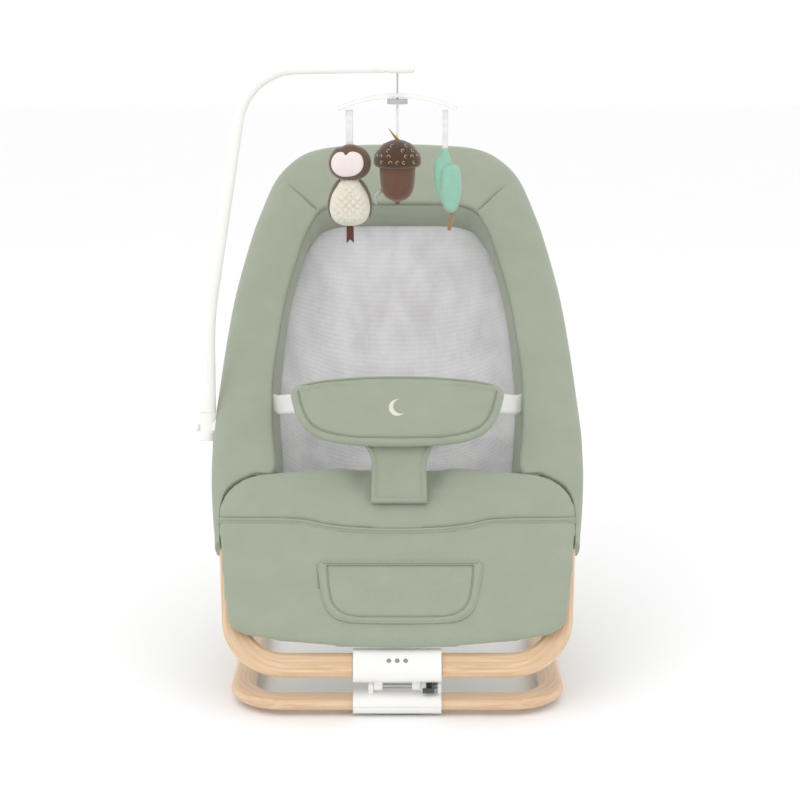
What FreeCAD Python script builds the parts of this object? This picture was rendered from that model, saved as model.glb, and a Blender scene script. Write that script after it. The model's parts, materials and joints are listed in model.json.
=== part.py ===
"""Baby bouncer seat: a padded bucket seat on two bentwood frame loops, with a harness and a toy mobile.

Row frame, millimetres: X to the sitter's left as seen from the front, Y from the front bar towards the
head end, Z up. The origin is on the floor, under the middle of the front bar.

The seat lies in a plane of its own that slopes up from the front bar. Its pieces are modelled flat, as
(x, along the slope, above the seat plane), and seat() tips them into place. The harness does the same
from its own anchor line, with harness().
"""

import FreeCAD, Part
import math
import os

from FreeCAD import Vector

# ---------------------------------------------------------------- driving dimensions
SEAT_ANGLE = 45.0            # slope of the seat plane above the floor, degrees
UPPER_BAR_Z = 54.0           # height of the upper frame's front bar axis
PIN_Z = 30.5                 # height of the folding hinge's pin
GAP = 0.3                    # clearance between neighbours that only lie together
RUNNING = 0.05               # radial clearance of a shaft that turns in its hole

# bentwood rails
RAIL_WIDTH = 28.0
RAIL_THICKNESS = 14.0
BASE_WIDTH = 370.0           # outside the base loop's side rails
BASE_LENGTH = 600.0          # front bar axis to rear bar axis
BASE_CORNER_R = 48.0
FOOT_HEIGHT = 5.5
BASE_Z = FOOT_HEIGHT + RAIL_THICKNESS / 2
UPPER_BAR_HALF = 175.0       # upper rail axis, at the front corners
UPPER_TOP_HALF = 190.4       # upper rail axis, at its upper end
UPPER_RAIL_LENGTH = 182.0
UPPER_CORNER_R = 58.0

# front hinge
SLEEVE_HALF = 48.0           # half the length of both front sleeves
LOWER_SLEEVE = (36.0, 21.0)  # depth, height
UPPER_SLEEVE = (38.0, 27.0)  # along the seat plane, across it
SLEEVE_WALL = 2.5
BASE_SOCKET_DEPTH = 22.0     # how far a base rail goes into its sleeve
PIN_R = 2.5
KNUCKLE_R = 5.3
EAR_INNER = 26.0             # |X| of a base ear's inner face
EAR_LENGTH = 5.5
KNUCKLE_LENGTH = 9.7
LATCH_TRAVEL = 4.4           # from drawn back, as modelled, to locked in the upper sleeve's knuckle
SPLINE_TEETH = 18            # one tooth is 20 degrees: locks at 45, 25 and 5 degrees of slope
SPLINE_ROOT_R = 3.6
SPLINE_TIP_R = 4.2
SPLINE_DEPTH = 4.2
CORE_R = 6.0                 # steel torsion core in the upper bar
CORE_HALF = 95.0
SLEEVE_END = 6.5             # solid ends of the upper sleeve, which the core turns in
JOINER = ((-18.0, 152.0), (15.0, 152.0), (18.6, 222.0), (-11.4, 222.0))   # from the rail's upper end
JOINER_HALF_THICKNESS = 10.4
SNAP_U = 206.0               # where the snap buttons lock the back tube
SNAP_TIP = 12.4

# back frame tube and seat outline, right half, as (x, along the slope)
TUBE_R = 9.0
TUBE_CORNERS = ((191.5, 188.0), (204.0, 250.0), (190.0, 470.0), (140.0, 714.0))
TUBE_RADII = (150.0, 700.0, 92.0)
BORDER_MARGIN = 13.0         # border pad's outer edge beyond the tube's axis
WELL_CORNERS = ((140.0, 236.0), (148.0, 330.0), (139.0, 470.0), (102.0, 622.0))
WELL_RADII = (200.0, 500.0, 50.0)
BORDER_LOW, BORDER_HIGH = -13.0, 24.0
BORDER_FOOT = 144.0          # lower end of the border's side strips
STRIP_INNER = 191.0          # their inner edge beside the knee pad
SHEET = 3.5                  # thickness of the cloth that forms the well
MESH_END = 266.0             # mesh above, sling cloth below
WELL_PROFILE = ((618.0, -14.0), (460.0, -46.0), (310.0, -70.0), (214.0, -62.0), (198.0, 8.0))
WELL_PROFILE_RADII = (700.0, 90.0, 40.0)

# front panel
PANEL_LOW, PANEL_HIGH = 11.0, 24.0
LEG_REST = ((150.0, 18.0), (170.0, 40.0), (187.0, 158.0))
KNEE_PAD = ((190.0, 158.5), (190.0, 204.0), (146.0, 236.0))
KNEE_HIGH = 27.0
FLAP_HALF, FLAP_LOW_U, FLAP_HIGH_U, FLAP_THICKNESS = 89.0, 42.0, 112.0, 6.0

# vibration unit
UNIT_HALF, UNIT_U0, UNIT_U1 = 59.0, 54.0, 100.0
UNIT_LOW, UNIT_SPLIT, UNIT_HIGH = -3.0, 10.0, 23.0
UNIT_WALL = 2.0
BUTTON_R = 9.0
CELL_R, CELL_LENGTH = 7.2, 50.5
MOTOR_R, MOTOR_LENGTH = 8.0, 24.0

# harness
ANCHOR_U, ANCHOR_N = 188.0, 30.5
HARNESS_TILT = 19.0
STRAP_HALF, STRAP_THICKNESS = 32.0, 6.0
WAIST_HALF, WAIST_LOW, WAIST_HIGH, WAIST_THICKNESS = 121.0, 62.0, 143.0, 13.0
CLIP_X, CLIP_H = 98.0, 116.0
STUD_R, STUD_LENGTH = 3.5, 4.0
WEBBING = (26.0, 1.6)

# toy arm
ARM_X = -222.0
ARM_LEAN = 7.5               # back from upright, degrees
ARM_FOOT = Vector(ARM_X, 213.0, 258.0)
ARM_R, ARM_TIP_R = 8.5, 5.6
SOCKET_R, SOCKET_HEIGHT, SOCKET_FLOOR = 10.8, 30.0, 3.0
ARM_HEIGHT = 431.0           # along the lean, from the foot to the top run's axis
ARM_REACH = 242.5            # from the swivel axis to the end of the cap
CLAMP_U = 305.0

# mobile
MOBILE_Y = ARM_FOOT.y + ARM_HEIGHT * math.sin(math.radians(ARM_LEAN))
ARM_TOP_Z = ARM_FOOT.z + ARM_HEIGHT * math.cos(math.radians(ARM_LEAN))
BAR_HALF, BAR_RISE, BAR_THICKNESS, BAR_DEPTH = 69.0, 15.0, 5.5, 9.0
BAR_END_Z = 636.0
TOY_X = 56.0

X_AXIS, Y_AXIS, Z_AXIS = Vector(1, 0, 0), Vector(0, 1, 0), Vector(0, 0, 1)
ORIGIN = Vector(0, 0, 0)
nodes = {}


# ---------------------------------------------------------------- helpers
def line(a, b):
    return Part.LineSegment(a, b).toShape()


def corner_arc(before, corner, after, radius):
    """Arc of the given radius that rounds a corner, with its two tangent points."""
    back, ahead = Vector(before - corner).normalize(), Vector(after - corner).normalize()
    half = back.getAngle(ahead) / 2
    inwards = Vector(back + ahead).normalize()
    centre = corner + inwards * (radius / math.sin(half))
    run = radius / math.tan(half)
    start, end = corner + back * run, corner + ahead * run
    return start, Part.Arc(start, centre - inwards * radius, end).toShape(), end


def rounded_path(points, radii, closed=False):
    """Straight runs joined by tangent arcs: one radius for each inner corner, or for every corner."""
    points = [Vector(*p) for p in points]
    if closed:
        corners = list(zip(points[-1:] + points[:-1], points, points[1:] + points[:1]))
    else:
        corners = list(zip(points, points[1:], points[2:]))
    edges, first, last = [], None, None if closed else points[0]
    for (before, corner, after), radius in zip(corners, radii):
        if radius:
            start, arc, end = corner_arc(before, corner, after, radius)
        else:
            start, arc, end = corner, None, corner
        first = first or start
        if last is not None and last.distanceToPoint(start) > 1e-6:
            edges.append(line(last, start))
        if arc is not None:
            edges.append(arc)
        last = end
    finish = first if closed else points[-1]
    if last.distanceToPoint(finish) > 1e-6:
        edges.append(line(last, finish))
    return Part.Wire(edges)


def stadium(width, height, centre, along, up):
    """Closed section with round sides: width along one direction, height along the other."""
    flat, r = along * ((width - height) / 2), height / 2
    a, b = centre - flat, centre + flat
    return Part.Wire([
        line(a + up * r, b + up * r),
        Part.Arc(b + up * r, b + along * r, b - up * r).toShape(),
        line(b - up * r, a - up * r),
        Part.Arc(a - up * r, a - along * r, a + up * r).toShape(),
    ])


def sweep(path, section):
    return path.makePipeShell([section], True, False)


def prism(wire, direction):
    return Part.Face(wire).extrude(direction)


def plate(points, radii, low, high):
    """Flat piece with rounded corners, from an outline of (x, y) points."""
    wire = rounded_path([(x, y, low) for x, y in points], radii, closed=True)
    return prism(wire, Vector(0, 0, high - low))


def box(x0, x1, y0, y1, z0, z1):
    return Part.makeBox(x1 - x0, y1 - y0, z1 - z0, Vector(x0, y0, z0))


def rod(radius, start, end):
    return Part.makeCylinder(radius, (end - start).Length, start, end - start)


def mirrored(shape):
    return shape.mirror(ORIGIN, X_AXIS)


def both_sides(points):
    """Outline of a symmetric piece from its right half, as (x, y) from bottom to top."""
    return list(points) + [(-x, y) for x, y in reversed(points)]


def offset_outline(half, distance):
    """Corners of a symmetric outline moved outwards, from its right half."""
    full = both_sides(half)
    moved = []
    for (ax, ay), (bx, by) in zip(full, full[1:]):
        length = math.hypot(bx - ax, by - ay)
        nx, ny = (by - ay) / length * distance, -(bx - ax) / length * distance
        moved.append(((ax + nx, ay + ny), (bx + nx, by + ny)))
    corners = [moved[0][0]]
    for (a, b), (c, d) in zip(moved, moved[1:]):
        cross = (b[0] - a[0]) * (d[1] - c[1]) - (b[1] - a[1]) * (d[0] - c[0])
        t = ((c[0] - a[0]) * (d[1] - c[1]) - (c[1] - a[1]) * (d[0] - c[0])) / cross
        corners.append((a[0] + t * (b[0] - a[0]), a[1] + t * (b[1] - a[1])))
    return corners[:len(half)]


def outline_plate(half, radii, offset, low, high):
    """Plate inside the outline that runs up one side, across the top and down the other."""
    corners = offset_outline(half, offset)
    rounds = [0] + [r + offset for r in radii]
    return plate(both_sides(corners), rounds + rounds[::-1], low, high)


def helix(radius, wire_r, start_x, end_x, turns):
    """Coil of square wire about the X axis."""
    path = Part.makeHelix((end_x - start_x) / turns, end_x - start_x, radius)
    path.rotate(ORIGIN, Y_AXIS, 90)
    path.translate(Vector(start_x, 0, 0))
    at = path.Vertexes[0].Point
    out = Vector(0, at.y, at.z).normalize() * wire_r
    ring = [at + out + X_AXIS * wire_r, at - out + X_AXIS * wire_r, at - out - X_AXIS * wire_r,
            at + out - X_AXIS * wire_r]
    section = Part.makePolygon(ring + ring[:1])
    return Part.Wire(path.Edges).makePipeShell([section], True, True)


def revolved(profile, axis_point):
    """Solid turned about a vertical axis: a smooth side through (radius, height) points, and flat ends."""
    points = [Vector(r, 0, h) for r, h in profile]
    curve = Part.BSplineCurve()
    curve.interpolate(points)
    low, high = Vector(0, 0, points[-1].z), Vector(0, 0, points[0].z)
    ends = [line(points[-1], low), line(low, high), line(high, points[0])]
    solid = Part.Face(Part.Wire([curve.toShape(), *ends])).revolve(ORIGIN, Z_AXIS, 360)
    solid.translate(axis_point)
    return solid


def screws(places, direction, length, shank_r=1.8, head_r=3.4, head=2.2):
    """Group of identical pan-head screws: each place is under the head."""
    made = []
    for place in places:
        shank = rod(shank_r, place, place + direction * length)
        made.append(rod(head_r, place - direction * head, place).fuse(shank))
    return Part.makeCompound(made)


def seat(shape):
    """From the flat seat plane to its place on the frame."""
    placed = shape.copy()
    placed.rotate(ORIGIN, X_AXIS, SEAT_ANGLE)
    placed.translate(Vector(0, 0, UPPER_BAR_Z))
    return placed


def harness(shape):
    """From the flat harness, measured from its anchor line, to its place on the seat."""
    placed = shape.copy()
    placed.rotate(ORIGIN, X_AXIS, HARNESS_TILT)
    placed.translate(Vector(0, ANCHOR_U, ANCHOR_N))
    return seat(placed)


def leaning(shape):
    """From an upright toy arm, measured from its foot, to its place beside the seat."""
    placed = shape.copy()
    placed.rotate(ORIGIN, X_AXIS, -ARM_LEAN)
    placed.translate(ARM_FOOT)
    return placed


def add(name, shape):
    nodes[name] = shape


def add_pair(name, shape):
    """A right-hand piece and its mirror image."""
    nodes[name + "_right"] = shape
    nodes[name + "_left"] = mirrored(shape)


# ---------------------------------------------------------------- base
def base_loop():
    half = (BASE_WIDTH - RAIL_WIDTH) / 2
    inner = SLEEVE_HALF - BASE_SOCKET_DEPTH
    path = rounded_path(
        [(inner, 0, BASE_Z), (half, 0, BASE_Z), (half, BASE_LENGTH, BASE_Z), (inner, BASE_LENGTH, BASE_Z)],
        [BASE_CORNER_R] * 2,
    )
    section = stadium(RAIL_WIDTH, RAIL_THICKNESS, Vector(inner, 0, BASE_Z), Y_AXIS, Z_AXIS)
    rail = sweep(path, section)
    for y in (0, BASE_LENGTH):
        rail = rail.cut(rod(2.1, Vector(screw_x(), y, 0), Vector(screw_x(), y, 2 * BASE_Z)))
    add_pair("base_rail", rail)
    foot = plate(
        [(half - 5, 0), (half + 5, 0), (half + 5, 44), (half - 5, 44)], [4.9] * 4, 0, FOOT_HEIGHT
    )
    feet = [sole_pad(0), sole_pad(BASE_LENGTH)]
    for y in (BASE_CORNER_R + 10, BASE_LENGTH - BASE_CORNER_R - 54):
        pad = foot.copy()
        pad.translate(Vector(0, y, 0))
        feet += [pad, mirrored(pad)]
    add("rubber_feet", Part.makeCompound(feet))


def screw_x():
    """|X| of the screws that hold the base rails in their sleeves."""
    return SLEEVE_HALF - BASE_SOCKET_DEPTH / 2


def sleeve_halves(y):
    """Top and bottom shells of a sleeve that joins the two base rails at their ends."""
    depth, height = LOWER_SLEEVE
    start = Vector(-SLEEVE_HALF, y, BASE_Z)
    body = prism(stadium(depth, height, start, Y_AXIS, Z_AXIS), Vector(2 * SLEEVE_HALF, 0, 0))
    socket = prism(
        stadium(RAIL_WIDTH + GAP, RAIL_THICKNESS + GAP, start, Y_AXIS, Z_AXIS),
        Vector(BASE_SOCKET_DEPTH + GAP, 0, 0),
    )
    body = body.cut(socket).cut(mirrored(socket))
    hollow = prism(
        stadium(depth - 12, height - 9, Vector(-16, y, BASE_Z), Y_AXIS, Z_AXIS), Vector(32, 0, 0)
    )
    body = body.cut(hollow).cut(sole_pad(y))
    low = box(-60, 60, y - depth, y + depth, -5, BASE_Z)
    for x in (-screw_x(), screw_x()):
        body = body.cut(rod(1.9, Vector(x, y, 0), Vector(x, y, BASE_Z + 9)))
        body = body.cut(rod(3.6, Vector(x, y, 0), Vector(x, y, screw_seat_z())))
    return body.cut(low), body.common(low)


def screw_seat_z():
    """Height that the base screws' heads bear on."""
    return BASE_Z - LOWER_SLEEVE[1] / 2 + 2.4


def spline(tip, root, start_x, end_x):
    """Toothed bar about the hinge axis."""
    points = []
    for tooth in range(SPLINE_TEETH):
        for share, radius in ((0.0, root), (0.25, tip), (0.5, tip), (0.75, root)):
            angle = 2 * math.pi * (tooth + share) / SPLINE_TEETH
            points.append(Vector(start_x, radius * math.cos(angle), PIN_Z + radius * math.sin(angle)))
    return prism(Part.makePolygon(points + points[:1]), Vector(end_x - start_x, 0, 0))


def hinge_rod(radius, x0, x1):
    return rod(radius, Vector(x0, 0, PIN_Z), Vector(x1, 0, PIN_Z))


def front_hinge():
    top, _ = sleeve_halves(0)
    spring_ear = (SLEEVE_HALF - 4, SLEEVE_HALF)
    ears = [(-EAR_INNER - EAR_LENGTH, -EAR_INNER), (EAR_INNER, EAR_INNER + EAR_LENGTH), spring_ear]
    for x0, x1 in ears:
        web = box(x0, x1, -KNUCKLE_R, KNUCKLE_R, BASE_Z + 9, PIN_Z)
        top = top.fuse(web).fuse(hinge_rod(KNUCKLE_R, x0, x1))
    top = top.cut(hinge_rod(PIN_R, -60, 60))
    bore = spline(SPLINE_TIP_R + 0.2, SPLINE_ROOT_R + 0.2, EAR_INNER, EAR_INNER + EAR_LENGTH)
    add("hinge_base_shell", top.cut(bore).removeSplitter())
    add("hinge_pin", hinge_rod(PIN_R, -EAR_INNER - EAR_LENGTH, SLEEVE_HALF))
    latch_slider()
    upper_sleeve()


def sole_pad(y):
    """Rubber sole under a base sleeve. The front one's underside is the origin's face."""
    low = BASE_Z - LOWER_SLEEVE[1] / 2
    return plate([(-28, y - 6), (28, y - 6), (28, y + 6), (-28, y + 6)], [4] * 4, 0, low + 1.0)


def latch_slider():
    """Spring-loaded lock: a splined bush on the pin, with a bent finger tab in front."""
    start, end = EAR_INNER + 0.3, EAR_INNER + EAR_LENGTH + 0.4 + LATCH_TRAVEL
    slider = spline(SPLINE_TIP_R, SPLINE_ROOT_R, start, end)
    collar_end = end + 2.0
    slider = slider.fuse(hinge_rod(KNUCKLE_R - 0.3, end, collar_end))
    slider = slider.fuse(box(end, collar_end, -13, -3, PIN_Z - 4, PIN_Z + 1))
    slider = slider.fuse(box(end - 9, collar_end + 2, -13, -10.5, PIN_Z - 4, PIN_Z + 1))
    slider = slider.fuse(box(collar_end - 1, collar_end + 2, -13, -10.5, PIN_Z - 4, PIN_Z + 5.5))
    add("latch_slider", slider.cut(hinge_rod(PIN_R + RUNNING, start - 1, collar_end + 1)))
    coil = helix(3.5, 0.45, collar_end + 0.55, SLEEVE_HALF - 4.55, 3.5)
    coil.translate(Vector(0, 0, PIN_Z))
    add("latch_spring", coil)


def upper_sleeve():
    """Two shells round the upper bar, hinged to the base, that hold the bounce spring."""
    width, height = UPPER_SLEEVE
    start = Vector(-SLEEVE_HALF, 0, 0)
    body = prism(stadium(width, height, start, Y_AXIS, Z_AXIS), Vector(2 * SLEEVE_HALF, 0, 0))
    outside = seat(body)
    inside = SLEEVE_HALF - SLEEVE_END
    hollow = prism(
        stadium(width - 2 * SLEEVE_WALL, height - 2 * SLEEVE_WALL, Vector(-inside, 0, 0), Y_AXIS, Z_AXIS),
        Vector(2 * inside, 0, 0),
    )
    body = seat(body)
    inner, outer = EAR_INNER - GAP - KNUCKLE_LENGTH, EAR_INNER - GAP
    for x0, x1 in ((inner, outer), (-outer, -inner)):
        web = box(x0, x1, -4.4, 4.4, PIN_Z, PIN_Z + 10)
        body = body.fuse(web).fuse(hinge_rod(KNUCKLE_R, x0, x1))
    body = body.cut(seat(hollow))
    body = body.cut(seat(rod(CORE_R + RUNNING, Vector(-60, 0, 0), Vector(60, 0, 0))))
    body = body.cut(hinge_rod(PIN_R + RUNNING, -60, 60))
    socket = spline(SPLINE_TIP_R + 0.2, SPLINE_ROOT_R + 0.2, outer - SPLINE_DEPTH, outer + 1)
    body = body.cut(socket)
    posts = [Vector(x, y, 0) for x in (-38.0, 38.0) for y in (-14.2, 14.2)]
    for post in posts:
        boss = rod(3.2, post + Vector(0, 0, -10.4), post + Vector(0, 0, 10.4))
        body = body.fuse(seat(boss).common(outside))
    for post in posts:
        body = body.cut(seat(rod(1.4, post - Z_AXIS * 14, post + Z_AXIS * 6)))
        body = body.cut(seat(rod(2.7, post - Z_AXIS * 20, post - Z_AXIS * 5.6)))
    front_side = seat(box(-70, 70, -60, 60, 0, 60))
    add("upper_sleeve_front_shell", body.common(front_side))
    add("upper_sleeve_rear_shell", body.cut(front_side))
    heads = [post - Z_AXIS * 5.6 for post in posts]
    add("upper_sleeve_screws", seat(screws(heads, Z_AXIS, 11.0, 1.4, 2.5, 1.6)))
    add("bounce_spring", seat(helix(8.6, 1.5, -33, 33, 14)))


def rear_joiner():
    """Sleeve at the back of the base loop, and the screws and cores of both base sleeves."""
    top, bottom = sleeve_halves(BASE_LENGTH)
    add("rear_joiner_top", top)
    add("sleeve_bottom_shells", Part.makeCompound([sleeve_halves(0)[1], bottom]))
    places = [Vector(x, y, screw_seat_z()) for x in (-screw_x(), screw_x()) for y in (0, BASE_LENGTH)]
    add("base_screws", screws(places, Z_AXIS, BASE_Z + 8.5 - screw_seat_z()))


# ---------------------------------------------------------------- upper frame
def front_rail(extra):
    """Outside of the right front rail, in the seat plane, grown by extra."""
    path = rounded_path(
        [(SLEEVE_HALF + 0.4, 0, 0), (UPPER_BAR_HALF, 0, 0), (UPPER_TOP_HALF, UPPER_RAIL_LENGTH, 0)],
        [UPPER_CORNER_R],
    )
    start = Vector(SLEEVE_HALF + 0.4, 0, 0)
    return sweep(path, stadium(RAIL_WIDTH + 2 * extra, RAIL_THICKNESS + 2 * extra, start, Y_AXIS, Z_AXIS))


def upper_rails():
    rail = front_rail(0).cut(rod(CORE_R, Vector(0, 0, 0), Vector(CORE_HALF, 0, 0)))
    add_pair("front_rail", seat(rail))
    add("torsion_core", seat(rod(CORE_R, Vector(-CORE_HALF, 0, 0), Vector(CORE_HALF, 0, 0))))


def tube_path():
    corners = both_sides(TUBE_CORNERS)
    radii = list(TUBE_RADII) + list(reversed(TUBE_RADII))
    return rounded_path([(x, y, 0) for x, y in corners], radii)


def tube_section(radius):
    """Circle across the start of the back tube."""
    (x0, y0), (x1, y1) = TUBE_CORNERS[:2]
    return Part.Wire(Part.makeCircle(radius, Vector(x0, y0, 0), Vector(x1 - x0, y1 - y0, 0)))


def back_tube():
    outer = sweep(tube_path(), tube_section(TUBE_R))
    inner = sweep(tube_path(), tube_section(TUBE_R - 1.5))
    return outer.cut(inner)


def joiner_block(extra):
    """Outside of a frame joiner, right side, grown by extra."""
    points = [(UPPER_TOP_HALF + x, u) for x, u in JOINER]
    cx = sum(x for x, _ in points) / len(points)
    cu = sum(u for _, u in points) / len(points)
    grown = [(x + math.copysign(extra, x - cx), u + math.copysign(extra, u - cu)) for x, u in points]
    half = JOINER_HALF_THICKNESS + extra
    return plate(grown, [8 + extra] * 4, -half, half)


def frame_joiners():
    """Moulded blocks that join the wooden front rails to the steel back tube, with their snap buttons."""
    rail = front_rail(GAP / 2)
    tube = sweep(tube_path(), tube_section(TUBE_R))
    button_at = snap_place()
    stem = rod(3.5, button_at, button_at - Z_AXIS * 13)
    block = seat(joiner_block(0).cut(rail).cut(tube).cut(stem))
    add("frame_joiners", Part.makeCompound([block, mirrored(block)]))
    bored = back_tube()
    for bore in (stem, mirrored(stem)):
        bored = bored.cut(bore)
    add("back_frame_tube", seat(bored))
    button = rod(3.35, button_at - Z_AXIS * 4, button_at - Z_AXIS * SNAP_TIP)
    button = button.fuse(Part.makeSphere(3.35, button_at - Z_AXIS * SNAP_TIP, -Z_AXIS, 0, 90, 360))
    flange = rod(4.6, button_at - Z_AXIS * 3, button_at - Z_AXIS * 5.4)
    add_pair("snap_button", seat(button.fuse(flange)))


def snap_place():
    """Point on the back tube's axis where its right snap button stands."""
    (x0, u0), (x1, u1) = TUBE_CORNERS[:2]
    return Vector(x0 + (x1 - x0) * (SNAP_U - u0) / (u1 - u0), SNAP_U, 0)


# ---------------------------------------------------------------- soft seat
def border_blank():
    """The border pad as one horseshoe, before it is cut along its mitre seams."""
    outer = outline_plate(TUBE_CORNERS, TUBE_RADII, BORDER_MARGIN, BORDER_LOW, BORDER_HIGH)
    well = outline_plate(WELL_CORNERS, WELL_RADII, 0, BORDER_LOW - 1, BORDER_HIGH + 1)
    (x0, y0) = offset_outline(TUBE_CORNERS, BORDER_MARGIN)[0]
    strip = plate(
        [(STRIP_INNER, BORDER_FOOT), (x0 - 6, BORDER_FOOT), (x0, y0), (STRIP_INNER, y0)],
        [0, 6, 0, 0], BORDER_LOW, BORDER_HIGH,
    )
    blank = outer.fuse(strip).fuse(mirrored(strip)).cut(well)
    front = box(-STRIP_INNER, STRIP_INNER, 0, WELL_CORNERS[0][1] + GAP, -60, 60)
    channel = sweep(tube_path(), tube_section(TUBE_R + GAP))
    blank = blank.cut(front).cut(channel)
    finger_hole = rod(9.0, snap_place(), snap_place() - Z_AXIS * 30)
    for room in (joiner_block(GAP), front_rail(GAP), finger_hole):
        blank = blank.cut(room).cut(mirrored(room))
    return seat(blank).cut(socket_space()).cut(seat(clamp_block(1.0)))


def mitre_prism(side):
    """Everything to one side of a mitre seam, which runs from the well's corner to the outer corner."""
    seam = [(70.0, 585.0), (215.0, 744.0), (300.0, 744.0), (300.0, 100.0), (70.0, 100.0)]
    corners = [(x * side, y) for x, y in seam]
    return plate(corners, [0] * len(corners), -90, 90)


def border_pads():
    blank = border_blank()
    right, left = seat(mitre_prism(1)), seat(mitre_prism(-1))
    add("border_pad_right", blank.common(right))
    add("border_pad_left", blank.common(left))
    add("border_pad_top", blank.cut(right).cut(left))


def profile_points(offset):
    """Points along the well's side profile, moved off it."""
    centre = rounded_path([(0, u, n) for u, n in WELL_PROFILE], WELL_PROFILE_RADII)
    points = centre.discretize(Deflection=0.4)
    moved = []
    for index, point in enumerate(points):
        ahead = points[min(index + 1, len(points) - 1)] - points[max(index - 1, 0)]
        moved.append(point + Vector(0, ahead.z, -ahead.y).normalize() * offset)
    return moved


def profile_prism(points):
    """Prism across the whole seat width, from an outline in its mid-plane."""
    solid = prism(Part.makePolygon(points + points[:1]), Vector(320, 0, 0))
    solid.translate(Vector(-160, 0, 0))
    return solid


def well_cloth():
    """Mesh back, and the sling with its side walls, which hang from the border and form the seat's well."""
    face = profile_points(0)
    sheet = profile_prism(face + profile_points(-SHEET)[::-1])
    below = WELL_CORNERS[0][1] - 60
    (x0, _), *rest = WELL_CORNERS
    plan = ((x0, below), *rest)
    top = BORDER_LOW - GAP
    inside = outline_plate(plan, WELL_RADII, 0, -120, top)
    sling_room = box(-x0, x0, 150, WELL_CORNERS[0][1], -120, PANEL_LOW - GAP)
    sheet = sheet.common(inside.fuse(sling_room))
    front = box(-200, 200, 0, MESH_END, -150, 60)
    add("mesh_back", seat(sheet.cut(front)))
    wall = outline_plate(plan, WELL_RADII, SHEET, -120, top).cut(outline_plate(plan, WELL_RADII, GAP / 2, -121, 0))
    wall = wall.cut(box(-90, 90, 0, 800, -150, 60)).cut(box(-200, 200, 0, 204, -150, 60))
    back = profile_points(-SHEET)
    wall = wall.common(profile_prism([*back, Vector(0, back[-1].y, 40), Vector(0, back[0].y, 40)]))
    add("seat_sling", seat(sheet.common(front)))
    add("well_walls", seat(Part.makeCompound(wall.Solids)))


def front_panel():
    leg = both_sides(LEG_REST)
    window = unit_block(GAP, PANEL_LOW - 1, PANEL_HIGH + 1)
    rest = plate(leg, [14, 30, 3, 3, 30, 14], PANEL_LOW, PANEL_HIGH).cut(window)
    add("leg_rest", seat(rest))
    add("knee_pad", seat(plate(both_sides(KNEE_PAD), [3, 26, 12, 12, 26, 3], PANEL_LOW, KNEE_HIGH)))
    flap = [(FLAP_HALF - 14, FLAP_LOW_U), (FLAP_HALF, FLAP_HIGH_U)]
    low = PANEL_HIGH + GAP
    add("pocket_flap", seat(plate(both_sides(flap), [22, 3, 3, 22], low, low + FLAP_THICKNESS)))


# ---------------------------------------------------------------- vibration unit
def unit_block(extra, low, high):
    """Rounded outline of the vibration unit, grown by extra."""
    x, u0, u1 = UNIT_HALF + extra, UNIT_U0 - extra, UNIT_U1 + extra
    return plate([(-x, u0), (x, u0), (x, u1), (-x, u1)], [9 + extra] * 4, low, high)


def vibration_unit():
    """Battery unit that sits in the leg rest's window, behind the pocket flap."""
    w = UNIT_WALL
    case = unit_block(0, UNIT_LOW, UNIT_HIGH).cut(unit_block(-w, UNIT_LOW + w, UNIT_HIGH - w))
    mid_u = (UNIT_U0 + UNIT_U1) / 2
    button_at = Vector(38.0, mid_u, UNIT_HIGH)
    case = case.cut(rod(BUTTON_R + 0.3, button_at - Z_AXIS * 4, button_at + Z_AXIS))
    door = box(-UNIT_HALF + 9, 6, UNIT_U0 + 6, UNIT_U1 - 6, UNIT_LOW, UNIT_LOW + w)
    case = case.cut(box(-UNIT_HALF + 8.7, 6.3, UNIT_U0 + 5.7, UNIT_U1 - 5.7, UNIT_LOW - 1, UNIT_LOW + w))
    places = [Vector(x, y, UNIT_LOW) for x in (-UNIT_HALF + 5, UNIT_HALF - 5) for y in (UNIT_U0 + 5, UNIT_U1 - 5)]
    for place in places:
        case = case.fuse(rod(2.6, place, Vector(place.x, place.y, UNIT_HIGH - 1)))
    for place in places:
        case = case.cut(rod(1.25, place, place + Z_AXIS * 18)).cut(rod(2.0, place - Z_AXIS, place + Z_AXIS * 1.2))
    low = box(-80, 80, 0, 150, -40, UNIT_SPLIT)
    add("vibration_case_front", seat(case.cut(low)))
    add("vibration_case_rear", seat(case.common(low)))
    add("battery_door", seat(door))
    heads = [place + Z_AXIS * 1.2 for place in places]
    add("case_screws", seat(screws(heads, Z_AXIS, 16.5, 1.25, 2.0, 1.2)))
    cells = []
    for u in (mid_u - 8.5, mid_u + 8.5):
        at = Vector(-UNIT_HALF + 6.5, u, UNIT_LOW + w + CELL_R + 0.3)
        cells.append(rod(CELL_R, at, at + X_AXIS * CELL_LENGTH))
    add("battery_cells", seat(Part.makeCompound(cells)))
    board = box(-UNIT_HALF + 12, UNIT_HALF - 12, UNIT_U0 + 4, UNIT_U1 - 4, UNIT_HIGH - 6.4, UNIT_HIGH - 4.8)
    add("circuit_board", seat(board))
    button = rod(BUTTON_R, button_at - Z_AXIS * 3.4, button_at + Z_AXIS * 0.6)
    button = button.fuse(rod(BUTTON_R + 1.3, button_at - Z_AXIS * 3.4, button_at - Z_AXIS * 2.3))
    add("power_button", seat(button))
    motor_at = Vector(10.0, mid_u, 8.0)
    motor = rod(MOTOR_R, motor_at, motor_at + X_AXIS * MOTOR_LENGTH)
    shaft_end = motor_at + X_AXIS * (MOTOR_LENGTH + 8)
    add("vibration_motor", seat(motor.fuse(rod(1.0, motor_at, shaft_end))))
    weight_at = motor_at + X_AXIS * (MOTOR_LENGTH + 2)
    weight = rod(6.5, weight_at, weight_at + X_AXIS * 5)
    weight = weight.cut(box(0, 80, mid_u - 10, mid_u + 10, 9.6, 20)).fuse(rod(2.4, weight_at, weight_at + X_AXIS * 5))
    add("eccentric_weight", seat(weight.cut(rod(1.0 + RUNNING, motor_at, shaft_end))))


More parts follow.
